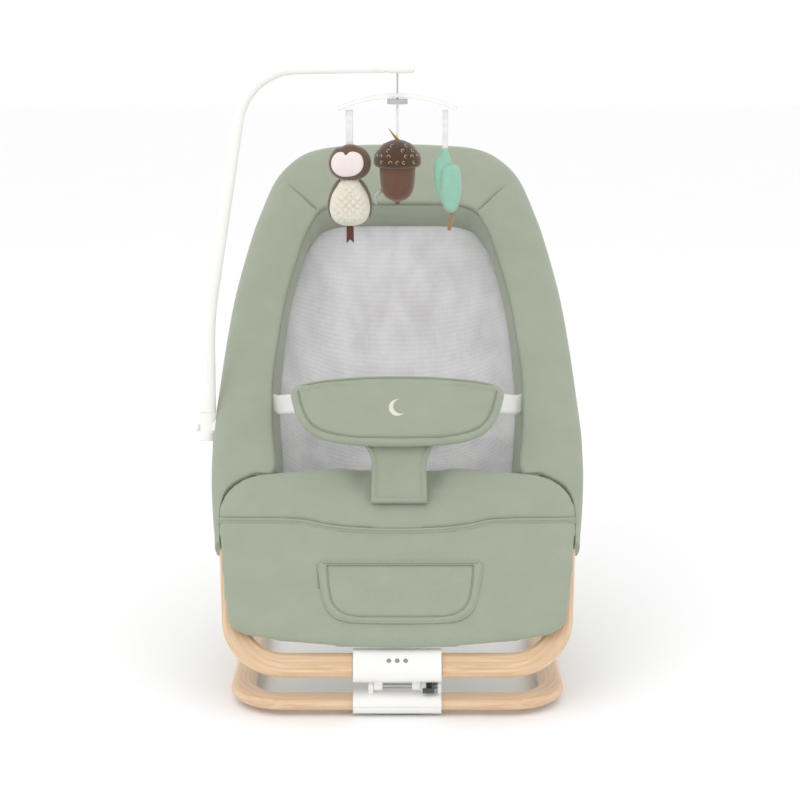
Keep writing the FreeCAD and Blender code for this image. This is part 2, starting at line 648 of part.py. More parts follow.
# ---------------------------------------------------------------- harness
def harness_pieces():
    half = STRAP_THICKNESS / 2
    strap = plate(
        both_sides([(STRAP_HALF, 0), (STRAP_HALF, WAIST_LOW + 8)]), [2] * 4, -half, half
    )
    low, high = half + GAP, half + GAP + WAIST_THICKNESS
    waist = [(62, WAIST_LOW), (104, WAIST_LOW + 16), (WAIST_HALF, WAIST_HIGH - 18), (110, WAIST_HIGH - 4)]
    pad = plate(both_sides(waist), [60, 30, 10, 8, 8, 10, 30, 60], low, high)
    disc = Vector(CLIP_X, CLIP_H, low)
    socket = rod(9.5, disc - Z_AXIS * 3.0, disc)
    socket = socket.cut(rod(STUD_R + 0.5, disc - Z_AXIS * 4, disc - Z_AXIS * 0.8))
    add("crotch_strap", harness(strap))
    add("waist_pad", harness(pad))
    add("pad_sockets", harness(Part.makeCompound([socket, mirrored(socket)])))
    plate_top = low - 3.0 - GAP
    clip = plate([(CLIP_X - 12, CLIP_H - 13), (CLIP_X + 14, CLIP_H - 13), (CLIP_X + 14, CLIP_H + 13),
                  (CLIP_X - 12, CLIP_H + 13)], [4] * 4, plate_top - 2.4, plate_top)
    stud_at = Vector(CLIP_X, CLIP_H, plate_top)
    clip = clip.fuse(rod(STUD_R, stud_at, stud_at + Z_AXIS * 2.3))
    add("strap_clips", harness(Part.makeCompound([clip, mirrored(clip)])))
    webbing(plate_top - 2.4)


def webbing(clip_under):
    """Side straps, from the clips behind the waist pad up and out to the border's inner wall."""
    tilt = math.radians(HARNESS_TILT)
    width, thick = WEBBING
    u = ANCHOR_U + CLIP_H * math.cos(tilt) - clip_under * math.sin(tilt)
    n = ANCHOR_N + CLIP_H * math.sin(tilt) + clip_under * math.cos(tilt)
    inner = Vector(CLIP_X + 2, u, n - 5.2)
    outer = Vector(WELL_CORNERS[1][0] - 3.2, u + 36, 4.0)
    ends = []
    for centre in (inner, outer):
        low, high = centre - Y_AXIS * (width * 0.46), centre + Y_AXIS * (width * 0.46)
        raised = Vector(0.8, 0, 0.6).normalize() * thick
        ends.append(Part.makePolygon([low, high, high + raised, low + raised, low]))
    strap = Part.makeLoft(ends, True, True)
    add("side_straps", seat(Part.makeCompound([strap, mirrored(strap)])))


# ---------------------------------------------------------------- toy arm
def socket_space():
    """Room that the border pad leaves round the toy arm's socket."""
    return leaning(rod(SOCKET_R + 1.5, Vector(0, 0, -SOCKET_FLOOR - 2), Vector(0, 0, SOCKET_HEIGHT + 40)))


def clamp_block(extra):
    """Block that grips the back tube beside the toy arm, in the seat plane, grown by extra."""
    return box(ARM_X + 4 - extra, ARM_X + 36 + extra, CLAMP_U - 12 - extra, CLAMP_U + 12 + extra,
               -12.4 - extra, 12.4 + extra)


def toy_arm_mount():
    tube = seat(sweep(tube_path(), tube_section(TUBE_R)))
    cup = leaning(rod(SOCKET_R, Vector(0, 0, -SOCKET_FLOOR), Vector(0, 0, SOCKET_HEIGHT)))
    bore = leaning(rod(ARM_R + RUNNING, Vector(0, 0, 0), Vector(0, 0, SOCKET_HEIGHT + 60)))
    split_x = -201.0
    outer_side = box(-300, split_x, 0, 600, 0, 700)
    holes = [Vector(0, CLAMP_U + du, 11.0 * side) for du, side in ((-8, 1), (8, -1))]
    block = seat(clamp_block(0))
    button_bore = leaning(rod(3.2, Vector(-20, 0, 12), Vector(-4, 0, 12)))
    outer = block.common(outer_side).fuse(cup).cut(tube).cut(bore).cut(button_bore)
    inner = block.cut(outer_side).cut(tube)
    for hole in holes:
        tap = seat(rod(1.0, Vector(split_x - 6, hole.y, hole.z), Vector(-150, hole.y, hole.z)))
        outer, inner = outer.cut(tap), inner.cut(tap)
    heads = [Vector(ARM_X + 36, hole.y, hole.z) for hole in holes]
    add("arm_clamp_inner", inner)
    add("arm_socket", outer)
    add("arm_clamp_screws", seat(screws(heads, -X_AXIS, 19.0, 1.0, 1.4, 1.0)))
    knob = rod(3.0, Vector(-SOCKET_R - 2.2, 0, 12), Vector(-7.4, 0, 12))
    knob = knob.fuse(rod(4.6, Vector(-SOCKET_R - 4.6, 0, 12), Vector(-SOCKET_R - 1.0, 0, 12)))
    add("arm_release_knob", leaning(knob))


def toy_arm():
    """Bent tube that stands in the socket and reaches over the seat, with its cap."""
    path = rounded_path(
        [(0, 0, GAP), (0, 0, 140), (46, 0, ARM_HEIGHT - 2), (ARM_REACH - 34, 0, ARM_HEIGHT)], [420, 70]
    )
    shell = Part.BRepOffsetAPI.MakePipeShell(path)
    shell.add(Part.Wire(Part.makeCircle(ARM_R, Vector(0, 0, GAP), Z_AXIS)))
    end = Vector(ARM_REACH - 34, 0, ARM_HEIGHT)
    ahead = Vector(ARM_REACH - 34 - 46, 0, 2)
    shell.add(Part.Wire(Part.makeCircle(ARM_TIP_R, end, ahead)))
    shell.build()
    shell.makeSolid()
    arm = shell.shape()
    groove = rod(ARM_R + 1, Vector(0, 0, 8.6), Vector(0, 0, 15.4))
    groove = groove.cut(rod(ARM_R - 1.3, Vector(0, 0, 8), Vector(0, 0, 16)))
    cap_half = 17.75
    centre = Vector(ARM_REACH - cap_half, 0, ARM_HEIGHT)
    cap = stadium(2 * cap_half, 16.0, centre - Z_AXIS * 6.5, X_AXIS, Y_AXIS)
    cap = prism(cap, Vector(0, 0, 14))
    cap = cap.cut(rod(2.3, Vector(-ARM_X, 0, ARM_HEIGHT - 20), Vector(-ARM_X, 0, ARM_HEIGHT + 2)))
    cap = cap.cut(rod(4.2, Vector(-ARM_X, 0, ARM_HEIGHT - 2), Vector(-ARM_X, 0, ARM_HEIGHT + 4)))
    add("toy_arm_tube", leaning(arm.cut(groove).cut(cap)))
    add("toy_arm_cap", leaning(cap))


# ---------------------------------------------------------------- mobile and toys
def mobile():
    """Hanger, arched bar and disc that turn together under the arm's cap."""
    top = Vector(0, MOBILE_Y, ARM_TOP_Z)
    crown_z = BAR_END_Z + BAR_RISE
    hanger = rod(1.1, Vector(0, MOBILE_Y, crown_z - 6), top + Z_AXIS * 1.0)
    hanger = hanger.fuse(rod(3.4, top - Z_AXIS * 1.2, top + Z_AXIS * 1.0))
    disc = rod(12.0, Vector(0, MOBILE_Y, crown_z - 7), Vector(0, MOBILE_Y, crown_z - 1.2))
    low = [Vector(x, MOBILE_Y, z) for x, z in ((-BAR_HALF, BAR_END_Z), (0, crown_z), (BAR_HALF, BAR_END_Z))]
    high = [p + Z_AXIS * BAR_THICKNESS for p in low]
    wire = Part.Wire([
        Part.Arc(*low).toShape(), line(low[2], high[2]), Part.Arc(*high[::-1]).toShape(), line(high[0], low[0]),
    ])
    bar = prism(wire, Vector(0, BAR_DEPTH, 0))
    bar.translate(Vector(0, -BAR_DEPTH / 2, 0))
    add("mobile_bar", bar.cut(rod(1.1, Vector(0, MOBILE_Y, 600), top)))
    add("mobile_hanger", disc.cut(bar).fuse(hanger))


def ribbon(x, z_top, z_low, width, thickness):
    return box(x - width / 2, x + width / 2, MOBILE_Y - thickness / 2, MOBILE_Y + thickness / 2, z_low, z_top)


def owl_toy():
    at = Vector(-TOY_X, MOBILE_Y, 0)
    top = BAR_END_Z + 1.4
    add("owl_ribbon", ribbon(-TOY_X, top, 597.2, 8.5, 1.4))
    head = [(5, 597), (17, 592), (25, 577), (19, 561), (10, 556.4)]
    body = [(10, 556), (17, 547), (23, 526), (17, 508), (8, 503)]
    add("owl_head", revolved(head, at))
    tail = ribbon(-TOY_X, 502.8, 480, 9.0, 1.4)
    add("owl_body", Part.makeCompound([revolved(body, at), tail]))


def acorn_toy():
    at = Vector(0, MOBILE_Y, 0)
    cord_top = BAR_END_Z + BAR_RISE - 8.0
    add("acorn_cord", rod(1.3, Vector(0, MOBILE_Y, 602.6), Vector(0, MOBILE_Y, cord_top)))
    cap = [(4, 602.4), (17, 598), (27, 586), (28, 577), (22, 570.4)]
    nut = [(20, 570), (22, 562), (20, 547), (10, 533), (3, 528)]
    add("acorn_cap", revolved(cap, at))
    add("acorn_nut", revolved(nut, at))


def leaf_toy():
    add("leaf_ribbon", ribbon(TOY_X, BAR_END_Z + 1.4, 593.4, 6.5, 1.4))
    half = [(6, 593), (12, 580), (8, 570), (19, 562), (18, 545), (9, 520), (3, 515.5)]
    outline = [(x, z) for x, z in half] + [(-x, z) for x, z in reversed(half)]
    wire = rounded_path([(x, 0, z) for x, z in outline], [2.5] * len(outline), closed=True)
    leaf = prism(wire, Vector(0, 13, 0))
    leaf.translate(Vector(TOY_X, MOBILE_Y - 6.5, 0))
    add("leaf_body", Part.makeCompound([leaf, ribbon(TOY_X, 515.2, 492, 6.5, 3.0)]))


# ---------------------------------------------------------------- build
def build():
    base_loop()
    front_hinge()
    rear_joiner()
    upper_rails()
    frame_joiners()
    border_pads()
    well_cloth()
    front_panel()
    vibration_unit()
    harness_pieces()
    toy_arm_mount()
    toy_arm()
    mobile()
    owl_toy()
    acorn_toy()
    leaf_toy()


build()
os.makedirs("parts", exist_ok=True)
for node_name, node_shape in nodes.items():
    node_shape.exportStep(f"parts/{node_name}.step")
    solids = node_shape.Solids
    print(f"{node_name:26s} solids {len(solids):2d} valid {node_shape.isValid()} "
          f"volume {sum(s.Volume for s in solids):12.1f}")
print(len(nodes), "nodes")
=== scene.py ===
import json
import math

import bmesh
import bpy
import numpy as np
from bpy.props import FloatProperty, FloatVectorProperty, IntProperty, PointerProperty, StringProperty
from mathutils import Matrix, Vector, geometry


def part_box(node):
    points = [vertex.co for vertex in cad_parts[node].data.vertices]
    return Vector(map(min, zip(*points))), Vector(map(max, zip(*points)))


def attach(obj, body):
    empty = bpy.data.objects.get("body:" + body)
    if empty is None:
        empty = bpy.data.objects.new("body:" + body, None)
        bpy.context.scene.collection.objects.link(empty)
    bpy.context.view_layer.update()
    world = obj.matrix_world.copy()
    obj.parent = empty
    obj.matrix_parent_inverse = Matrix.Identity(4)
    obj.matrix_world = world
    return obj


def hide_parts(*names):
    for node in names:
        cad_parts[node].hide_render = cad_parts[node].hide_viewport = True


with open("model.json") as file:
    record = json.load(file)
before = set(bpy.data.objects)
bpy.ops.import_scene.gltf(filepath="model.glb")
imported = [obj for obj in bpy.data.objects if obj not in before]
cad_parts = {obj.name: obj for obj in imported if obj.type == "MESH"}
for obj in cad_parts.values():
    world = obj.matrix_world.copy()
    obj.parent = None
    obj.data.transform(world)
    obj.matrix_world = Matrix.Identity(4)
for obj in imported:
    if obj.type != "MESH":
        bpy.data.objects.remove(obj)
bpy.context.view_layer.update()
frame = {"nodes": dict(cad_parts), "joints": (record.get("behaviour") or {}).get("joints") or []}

bl_info = {
    "name": "Baby bouncer seat",
    "version": (1, 0, 0),
    "blender": (4, 5, 0),
    "location": "View3D > Sidebar > Bouncer",
    "description": "Sewn covers, harness, toys and finishes of a bentwood baby bouncer",
    "category": "Object",
}

JOINT_AT = {j["name"]: Vector(j["pos_m"]) for j in frame["joints"] if "pos_m" in j}
SEAT_PIVOT = JOINT_AT["seat_bounce"]
SLOPE = math.radians(45)
HARNESS_TILT = math.radians(19)
ANCHOR = (JOINT_AT["harness_flip"] - SEAT_PIVOT) * 1000
ANCHOR_U = (ANCHOR.y + ANCHOR.z) * math.cos(SLOPE)
ANCHOR_N = (ANCHOR.z - ANCHOR.y) * math.sin(SLOPE)


# ---------------------------------------------------------------- places
def seat(points):
    """Points as (x, along the slope, above the seat plane) in mm, placed in the row frame in metres."""
    x, along, above = np.asarray(points, float).reshape(-1, 3).T * 0.001
    c = math.cos(SLOPE)
    return np.column_stack([x, (along - above) * c, SEAT_PIVOT.z + (along + above) * c])


def harness(points):
    """Points as (x, up the strap, in front of it) in mm, from the harness's anchor line."""
    x, up, out = np.asarray(points, float).reshape(-1, 3).T
    c, s = math.cos(HARNESS_TILT), math.sin(HARNESS_TILT)
    return seat(np.column_stack([x, ANCHOR_U + up * c - out * s, ANCHOR_N + up * s + out * c]))


def hanging(at):
    """Places (x from the toy's middle, height, towards the front) in mm on the toy that hangs from that joint."""
    middle = JOINT_AT[at]

    def place(points):
        x, z, out = np.asarray(points, float).reshape(-1, 3).T * 0.001
        return np.column_stack([middle.x + x, middle.y - out, z])

    return place


# ---------------------------------------------------------------- curves and surfaces
def spline(points, at):
    """Catmull-Rom curve through the points, at places counted from 0 for the first point."""
    p = np.asarray(points, float)
    ends = np.vstack([2 * p[0] - p[1], p, 2 * p[-1] - p[-2]])
    i = np.clip(np.floor(at).astype(int), 0, len(p) - 2)
    t = (np.asarray(at) - i)[:, None]
    a, b, c, d = ends[i], ends[i + 1], ends[i + 2], ends[i + 3]
    return 0.5 * (2 * b + (c - a) * t + (2 * a - 5 * b + 4 * c - d) * t**2 + (3 * b - a - 3 * c + d) * t**3)


def even(points, step, closed=False):
    """The same curve with its points an even step apart."""
    p = np.asarray(points, float)
    if closed:
        dense = spline(np.vstack([p[-2:], p, p[:3]]), np.linspace(2, len(p) + 2, len(p) * 16 + 1))
    else:
        dense = spline(p, np.linspace(0, len(p) - 1, len(p) * 16))
    run = np.append(0, np.cumsum(np.linalg.norm(np.diff(dense, axis=0), axis=1)))
    count = max(int(run[-1] / step), 3)
    want = np.linspace(0, run[-1], count, endpoint=not closed)
    return np.column_stack([np.interp(want, run, column) for column in dense.T])


def both_sides(half):
    """A closed outline from its right half, listed from the lower middle to the upper middle."""
    half = np.asarray(half, float)
    left = half[::-1] * [-1, 1]
    return np.vstack([half, left[np.abs(left[:, 0]) > 0.01]])


def across(half):
    """A curve over the middle line from its right half, listed up to the middle."""
    half = np.asarray(half, float)
    left = half[::-1].copy()
    left[:, 0] *= -1
    return np.vstack([half, left[1:]])


def gap_to(points, chain, closed=False):
    """Distance from each flat point to a chain of straight runs."""
    chain = np.asarray(chain, float)
    if closed:
        chain = np.vstack([chain, chain[:1]])
    best = np.full(len(points), 1e9)
    for a, b in zip(chain, chain[1:]):
        run = b - a
        t = np.clip(((points - a) @ run) / max(run @ run, 1e-9), 0, 1)
        best = np.minimum(best, np.linalg.norm(points - a - t[:, None] * run, axis=1))
    return best


def inside(points, outline):
    """True for the flat points within a closed outline."""
    x, y = points.T
    hits = np.zeros(len(points), bool)
    for (ax, ay), (bx, by) in zip(outline, np.roll(outline, -1, 0)):
        crosses = (ay > y) != (by > y)
        hits ^= crosses & (x < (bx - ax) * (y - ay) / (by - ay + 1e-12) + ax)
    return hits


def rise(distance, radius):
    """Quarter-round edge: 0 at the edge, 1 from the radius inwards."""
    t = np.clip(distance / radius, 0, 1)
    return np.sqrt(1 - (1 - t) ** 2)


def channel(distance, width):
    """Sewn channel: 1 on the seam, fading over its width."""
    return np.exp(-((distance / width) ** 2))


def level(height):
    """The same height in mm all over a cushion or round its rim."""
    return lambda p, d=None: np.full(len(p), height)


def puffed(height, radius, power=1.0, base=0.0):
    """A cushion's face that rises by the height from its rim over the radius, in mm."""
    return lambda p, d: height * rise(d, radius) ** power + base


def raised(line, height):
    """A flat line of the seat plane at that height above it in mm, placed."""
    return seat(np.column_stack([line, np.full(len(line), height)]))


def stuffed(outline, place, front, back, edge, radius, step=4.0):
    """Closed cushion over a flat outline. front, back and edge give heights in mm from the flat points
    and their distance to the outline; the two faces meet on the edge."""
    outline = np.asarray(outline, float)
    tangent = np.roll(outline, -1, 0) - np.roll(outline, 1, 0)
    normal = np.column_stack([-tangent[:, 1], tangent[:, 0]])
    normal /= np.linalg.norm(normal, axis=1)[:, None] + 1e-12
    area = np.sum(outline[:, 0] * np.roll(outline[:, 1], -1) - outline[:, 1] * np.roll(outline[:, 0], -1))
    normal *= 1 if area > 0 else -1
    rows = [(1 - math.cos(math.radians(a))) * radius for a in (18, 34, 50, 66, 80)]
    points = []
    for inset in rows:
        ring = outline + normal * inset
        ring = ring[inside(ring, outline)]
        points.append(ring[gap_to(ring, outline, True) > inset * 0.93])
    low, high = outline.min(0), outline.max(0)
    xs, ys = np.arange(low[0], high[0], step), np.arange(low[1], high[1], step)
    grid = np.array([(x + (step / 2 if j % 2 else 0), y) for j, y in enumerate(ys) for x in xs])
    grid = grid[inside(grid, outline)]
    points.append(grid[gap_to(grid, outline, True) > radius])
    flat = np.vstack([outline] + [p for p in points if len(p)])
    rim = list(range(len(outline)))
    found = geometry.delaunay_2d_cdt([Vector(p) for p in flat], [], [rim], 1, 1e-5)
    flat = np.array([tuple(v) for v in found[0]])
    count = len(flat)
    distance = gap_to(flat, outline, True)
    on_rim = distance < 1e-4
    top = np.where(on_rim, edge(flat), front(flat, distance))
    under = np.where(on_rim, edge(flat), back(flat, distance))
    lower = np.arange(count) + count
    lower[on_rim] = np.nonzero(on_rim)[0]
    corners = np.vstack([np.column_stack([flat, top]), np.column_stack([flat, under])])
    faces = [list(f) for f in found[2]] + [[int(lower[v]) for v in reversed(f)] for f in found[2]]
    return place(corners), faces


def loft(rings, closed_ring=True, closed_path=False, capped=True):
    """Surface through rings of equally many points."""
    rings = np.asarray(rings, float)
    rows, count = rings.shape[:2]
    faces = []
    for i in range(rows if closed_path else rows - 1):
        j = (i + 1) % rows
        for k in range(count if closed_ring else count - 1):
            m = (k + 1) % count
            faces.append([i * count + k, i * count + m, j * count + m, j * count + k])
    if closed_ring and capped and not closed_path:
        faces.append(list(range(count))[::-1])
        faces.append([(rows - 1) * count + k for k in range(count)])
    return rings.reshape(-1, 3), faces


def cord_round(path, radius, sides=8, closed=False, flat=1.0, up=None):
    """Round or flattened cord along points in metres; the radius in mm may change along it."""
    path = np.asarray(path, float)
    if closed:
        ahead = np.roll(path, -1, 0) - np.roll(path, 1, 0)
    else:
        ahead = np.gradient(path, axis=0)
    ahead /= np.linalg.norm(ahead, axis=1)[:, None] + 1e-12
    side = np.cross(ahead[0], up if up is not None else (0.31, 0.17, 0.93))
    rings = []
    radius = np.broadcast_to(np.asarray(radius, float) * 0.001, len(path))
    for centre, way, r in zip(path, ahead, radius):
        side = side - way * (side @ way)
        side /= np.linalg.norm(side) + 1e-12
        over = np.cross(way, side)
        turn = np.arange(sides) * 2 * math.pi / sides
        rings.append(centre + r * (np.cos(turn)[:, None] * side + flat * np.sin(turn)[:, None] * over))
    return loft(rings, closed_path=closed)


def turned(profile, place, sides=32):
    """Turned form from (radius, height) pairs, bottom to top, with closed ends."""
    turn = np.arange(sides) * 2 * math.pi / sides
    rings = [place(np.column_stack([r * np.sin(turn), np.full(sides, z), r * np.cos(turn)])) for r, z in profile]
    return loft(rings)


def joined(*parts):
    """Several sets of corners and faces as one."""
    corners, faces, start = [], [], 0
    for c, f in parts:
        corners.append(c)
        faces += [[v + start for v in face] for face in f]
        start += len(c)
    return np.vstack(corners), faces


def soft_noise(points, size, seed):
    """Smooth unevenness from -1 to 1 with lumps of about that size in mm."""
    rng = np.random.default_rng(seed)
    total = np.zeros(len(points))
    for _ in range(7):
        way = rng.normal(size=points.shape[1])
        way /= np.linalg.norm(way)
        total += np.sin(points @ way * 2 * math.pi / (size * rng.uniform(0.7, 1.5)) + rng.uniform(0, 6.28))
    return total / 4


# ---------------------------------------------------------------- pieces
def piece(name, shape, material, body, stands_for=()):
    """A mesh piece that rides on a body, with its material; it hides the CAD parts it stands for."""
    mesh = bpy.data.meshes.new(name)
    mesh.from_pydata(shape[0].tolist(), [], shape[1])
    made = bmesh.new()
    made.from_mesh(mesh)
    bmesh.ops.recalc_face_normals(made, faces=made.faces)
    made.to_mesh(mesh)
    made.free()
    mesh.shade_smooth()
    mesh.materials.append(material)
    obj = bpy.data.objects.new(name, mesh)
    bpy.context.scene.collection.objects.link(obj)
    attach(obj, body)
    if stands_for:
        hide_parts(*stands_for)
    return obj


def unseat(points):
    """Places in the row frame back to (x, along the slope, above the seat plane) in mm."""
    x, y, z = (np.asarray(points, float) * 1000).T
    z = z - SEAT_PIVOT.z * 1000
    c = math.cos(SLOPE)
    return np.column_stack([x, (y + z) * c, (z - y) * c])


# The fill of the sewn pads: cells in metres, the pressure, its frames, and in mm how far a sewn edge and a sewn patch
# hold the cloth down, and the height below which it is the flat back.
CLOTH_CELL, CLOTH_PRESSURE, CLOTH_FRAMES = 0.005, 4.0, 20
EDGE_HOLD, PATCH_HOLD, BACK_BELOW = 7, 9, 13
# Thickness in mm of the mesh and the sling, of the webbing and of the toys' ribbons, and half the webbing's width.
SHEET_THICK, WEBBING_THICK, RIBBON_THICK, WEBBING_HALF = 3.0, 1.5, 0.9, 12.2


def settle(obj):
    """Applies the piece's modifiers to its mesh."""
    made = bpy.data.meshes.new_from_object(obj.evaluated_get(bpy.context.evaluated_depsgraph_get()))
    obj.modifiers.clear()
    obj.data = made
    return made


def inflate(obj, outline, cap, patch=None):
    """Fills a sewn pad as its wadding does: its cloth swells between the edges it is sewn along, by at most cap mm.
    patch is the outline of a piece sewn flat onto it, where it can't swell."""
    remesh = obj.modifiers.new("cloth cells", "REMESH")
    remesh.mode, remesh.voxel_size = "VOXEL", CLOTH_CELL
    cells = settle(obj)
    start = np.array([v.co for v in cells.vertices])
    sewn = obj.vertex_groups.new(name="sewn")
    at, above = unseat(start)[:, :2], unseat(start)[:, 2]
    held = channel(gap_to(at, outline, True), EDGE_HOLD)
    if patch is not None:
        flat = np.where(inside(at, patch), 1.0, channel(gap_to(at, patch, True), PATCH_HOLD))
        held = np.maximum(held, flat)
    under = above < BACK_BELOW
    for i, weight in enumerate(np.where(under, 1.0, held)):
        sewn.add([i], float(weight), "REPLACE")
    cloth = obj.modifiers.new("wadding", "CLOTH")
    cloth.settings.use_pressure = True
    cloth.settings.uniform_pressure_force = CLOTH_PRESSURE
    cloth.settings.vertex_group_mass = "sewn"
    cloth.settings.effector_weights.gravity = 0
    scene = bpy.context.scene
    for step in range(1, CLOTH_FRAMES + 1):
        scene.frame_set(step)
    depsgraph = bpy.context.evaluated_depsgraph_get()
    swollen = obj.evaluated_get(depsgraph)
    end = np.array([v.co for v in swollen.data.vertices])
    obj.modifiers.clear()
    move = end - start
    length = np.linalg.norm(move, axis=1)[:, None] + 1e-12
    move *= np.tanh(length / (cap * 0.001)) * cap * 0.001 / length
    cells.vertices.foreach_set("co", (start + move).ravel())
    smooth = obj.modifiers.new("smooth", "SUBSURF")
    smooth.levels = smooth.render_levels = 1
    made = bpy.data.meshes.new_from_object(obj.evaluated_get(bpy.context.evaluated_depsgraph_get()))
    obj.modifiers.clear()
    obj.vertex_groups.clear()
    obj.data = made
    made.shade_smooth()
    scene.frame_set(1)


def make_room(obj, node, clear=4.5):
    """Hollows the back of a pad for a part that sits in it, clear mm wider than the part all round."""
    part = unseat([v.co for v in frame["nodes"][node].data.vertices])
    low, high = part.min(0), part.max(0)
    points = unseat([v.co for v in obj.data.vertices])
    over = (points[:, :2] > low[:2] - clear).all(1) & (points[:, :2] < high[:2] + clear).all(1) & (points[:, 2] < 15)
    points[over, 2] = high[2] + 0.8
    obj.data.vertices.foreach_set("co", seat(points).ravel())
    obj.data.update()


def thicken(obj, thickness, offset=0.0):
    """Gives a sheet its real thickness in mm."""
    solid = obj.modifiers.new("thickness", "SOLIDIFY")
    solid.thickness, solid.offset = thickness * 0.001, offset
    bpy.context.view_layer.update()
    settle(obj)


# ---------------------------------------------------------------- finishes
def linear(colour):
    """An sRGB hex colour as linear RGBA."""
    parts = [int(colour[i:i + 2], 16) / 255 for i in (1, 3, 5)]
    return [c / 12.92 if c <= 0.04045 else ((c + 0.055) / 1.055) ** 2.4 for c in parts] + [1.0]


def add_node(tree, kind, settings, sockets):
    """A shader node with its settings, and its inputs set, or linked to a socket or to a node's first output."""
    made = tree.nodes.new("ShaderNode" + kind)
    for key, value in settings.items():
        setattr(made, key, value)
    for key, value in sockets.items():
        if isinstance(value, bpy.types.Node):
            value = value.outputs[0]
        if isinstance(value, bpy.types.NodeSocket):
            tree.links.new(value, made.inputs[key])
        else:
            made.inputs[key].default_value = value
    return made


def new_finish(name, sockets):
    """An empty material with its surface shader, and whether it was already there."""
    old = bpy.data.materials.get(name)
    if old:
        return old, None, None
    material = bpy.data.materials.new(name)
    material.use_nodes = True
    tree = material.node_tree
    tree.nodes.clear()
    shader = add_node(tree, "BsdfPrincipled", {}, sockets)
    add_node(tree, "OutputMaterial", {}, {"Surface": shader})
    return material, tree, shader


def paint(tree, shader, share, colour, other):
    """Colours the surface from the one colour to the other by the share."""
    mixed = add_node(tree, "Mix", {"data_type": "RGBA"}, {0: share, 6: colour, 7: other})
    tree.links.new(mixed.outputs[2], shader.inputs["Base Color"])


def cloth_finish(name, colour, shade, thread, weave=0.5, lumps=28.0, fuzz=0.3, rough=0.85, tilt=-45.0,
                 crease=0.35):
    """Woven or knitted cloth: crossed threads of that spacing in mm, slow colour drift and soft creases."""
    material, tree, shader = new_finish(name, {"Roughness": rough, "Sheen Weight": fuzz, "Sheen Roughness": 0.45,
                                               "Specular IOR Level": 0.25})
    if tree is None:
        return material
    place = add_node(tree, "TexCoord", {}, {})
    turn = add_node(tree, "Mapping", {}, {
        "Vector": place.outputs["Object"], "Rotation": (math.radians(tilt), 0, 0), "Scale": (1000, 1000, 1000)})
    wave = add_node(tree, "VectorMath", {"operation": "SCALE"}, {
        0: turn, "Scale": 2 * math.pi / thread})
    wave = add_node(tree, "VectorMath", {"operation": "SINE"}, {0: wave})
    split = add_node(tree, "SeparateXYZ", {}, {0: wave})
    crossed = add_node(tree, "Math", {"operation": "MULTIPLY"}, {0: split, 1: split.outputs[1]})
    drift = add_node(tree, "TexNoise", {}, {
        "Vector": turn, "Scale": 1 / lumps, "Detail": 4.0, "Roughness": 0.55})
    fibre = add_node(tree, "TexNoise", {}, {
        "Vector": turn, "Scale": 1.1, "Detail": 3.0, "Roughness": 0.7})
    spread = add_node(tree, "MapRange", {}, {
        "Value": drift.outputs["Fac"], "From Min": 0.3, "From Max": 0.7, "To Min": 0.0, "To Max": 0.22})
    speck = add_node(tree, "Math", {"operation": "MULTIPLY_ADD"}, {
        0: fibre.outputs["Fac"], 1: 0.45, 2: spread})
    dark = add_node(tree, "Math", {"operation": "MULTIPLY_ADD", "use_clamp": True}, {
        0: crossed, 1: -0.12 * weave, 2: speck})
    paint(tree, shader, dark, linear(colour), linear(shade))
    creased = add_node(tree, "Bump", {}, {
        "Height": drift.outputs["Fac"], "Strength": crease, "Distance": 0.004})
    woven = add_node(tree, "Bump", {}, {
        "Height": crossed, "Strength": 0.5 * weave, "Distance": 0.0003, "Normal": creased})
    hairy = add_node(tree, "Bump", {}, {
        "Height": fibre.outputs["Fac"], "Strength": 0.35, "Distance": 0.0006, "Normal": woven})
    tree.links.new(hairy.outputs[0], shader.inputs["Normal"])
    return material


def sage_cloth(look):
    """Brushed polyester knit, dyed sage: a matt, slightly hazy cover with threads 1.4 mm apart (drawn coarse)."""
    return cloth_finish("brushed_knit_sage", look.cover, look.cover_shade, 1.4, weave=0.6, lumps=34.0)


def air_mesh(look):
    """Warp-knitted air mesh, pale grey: round holes 2.6 mm apart with painted shade in them, and painted shade in
    slow patches where it folds; soft and matt.
    """
    material, tree, shader = new_finish("air_mesh_grey", {"Roughness": 0.8, "Sheen Weight": 0.2,
                                                          "Specular IOR Level": 0.3})
    if tree is None:
        return material
    place = add_node(tree, "TexCoord", {}, {})
    turn = add_node(tree, "Mapping", {}, {
        "Vector": place.outputs["Object"], "Rotation": (math.radians(-45), 0, 0), "Scale": (1000, 1000, 0)})
    holes = add_node(tree, "TexVoronoi", {"voronoi_dimensions": "2D"}, {
        "Vector": turn, "Scale": 1 / 2.6, "Randomness": 0.18})
    # painted shade: the holes are darkened toward the mesh's shade colour, and also pitted by the bump
    round_hole = add_node(tree, "MapRange", {}, {
        "Value": holes.outputs["Distance"], "From Min": 0.22, "From Max": 0.4, "To Min": 1.0, "To Max": 0.0})
    drift = add_node(tree, "TexNoise", {}, {
        "Vector": turn, "Scale": 1 / 28, "Detail": 4.0, "Roughness": 0.5})
    # painted shade: slow patches darkened where the mesh folds, from the same noise as its crease bump
    fold_shade_patches = add_node(tree, "MapRange", {}, {
        "Value": drift.outputs["Fac"], "From Min": 0.35, "From Max": 0.7, "To Min": 0.0, "To Max": 0.5})
    # paints shade into the colour, in the holes and in the fold patches
    dark = add_node(tree, "Math", {"operation": "MULTIPLY_ADD", "use_clamp": True}, {
        0: round_hole, 1: 0.16, 2: fold_shade_patches})
    paint(tree, shader, dark, linear(look.mesh), linear(look.mesh_shade))
    creased = add_node(tree, "Bump", {}, {
        "Height": drift.outputs["Fac"], "Strength": 0.5, "Distance": 0.007})
    pitted = add_node(tree, "Bump", {"invert": True}, {
        "Height": round_hole, "Strength": 0.5, "Distance": 0.0006, "Normal": creased})
    tree.links.new(pitted.outputs[0], shader.inputs["Normal"])
    return material


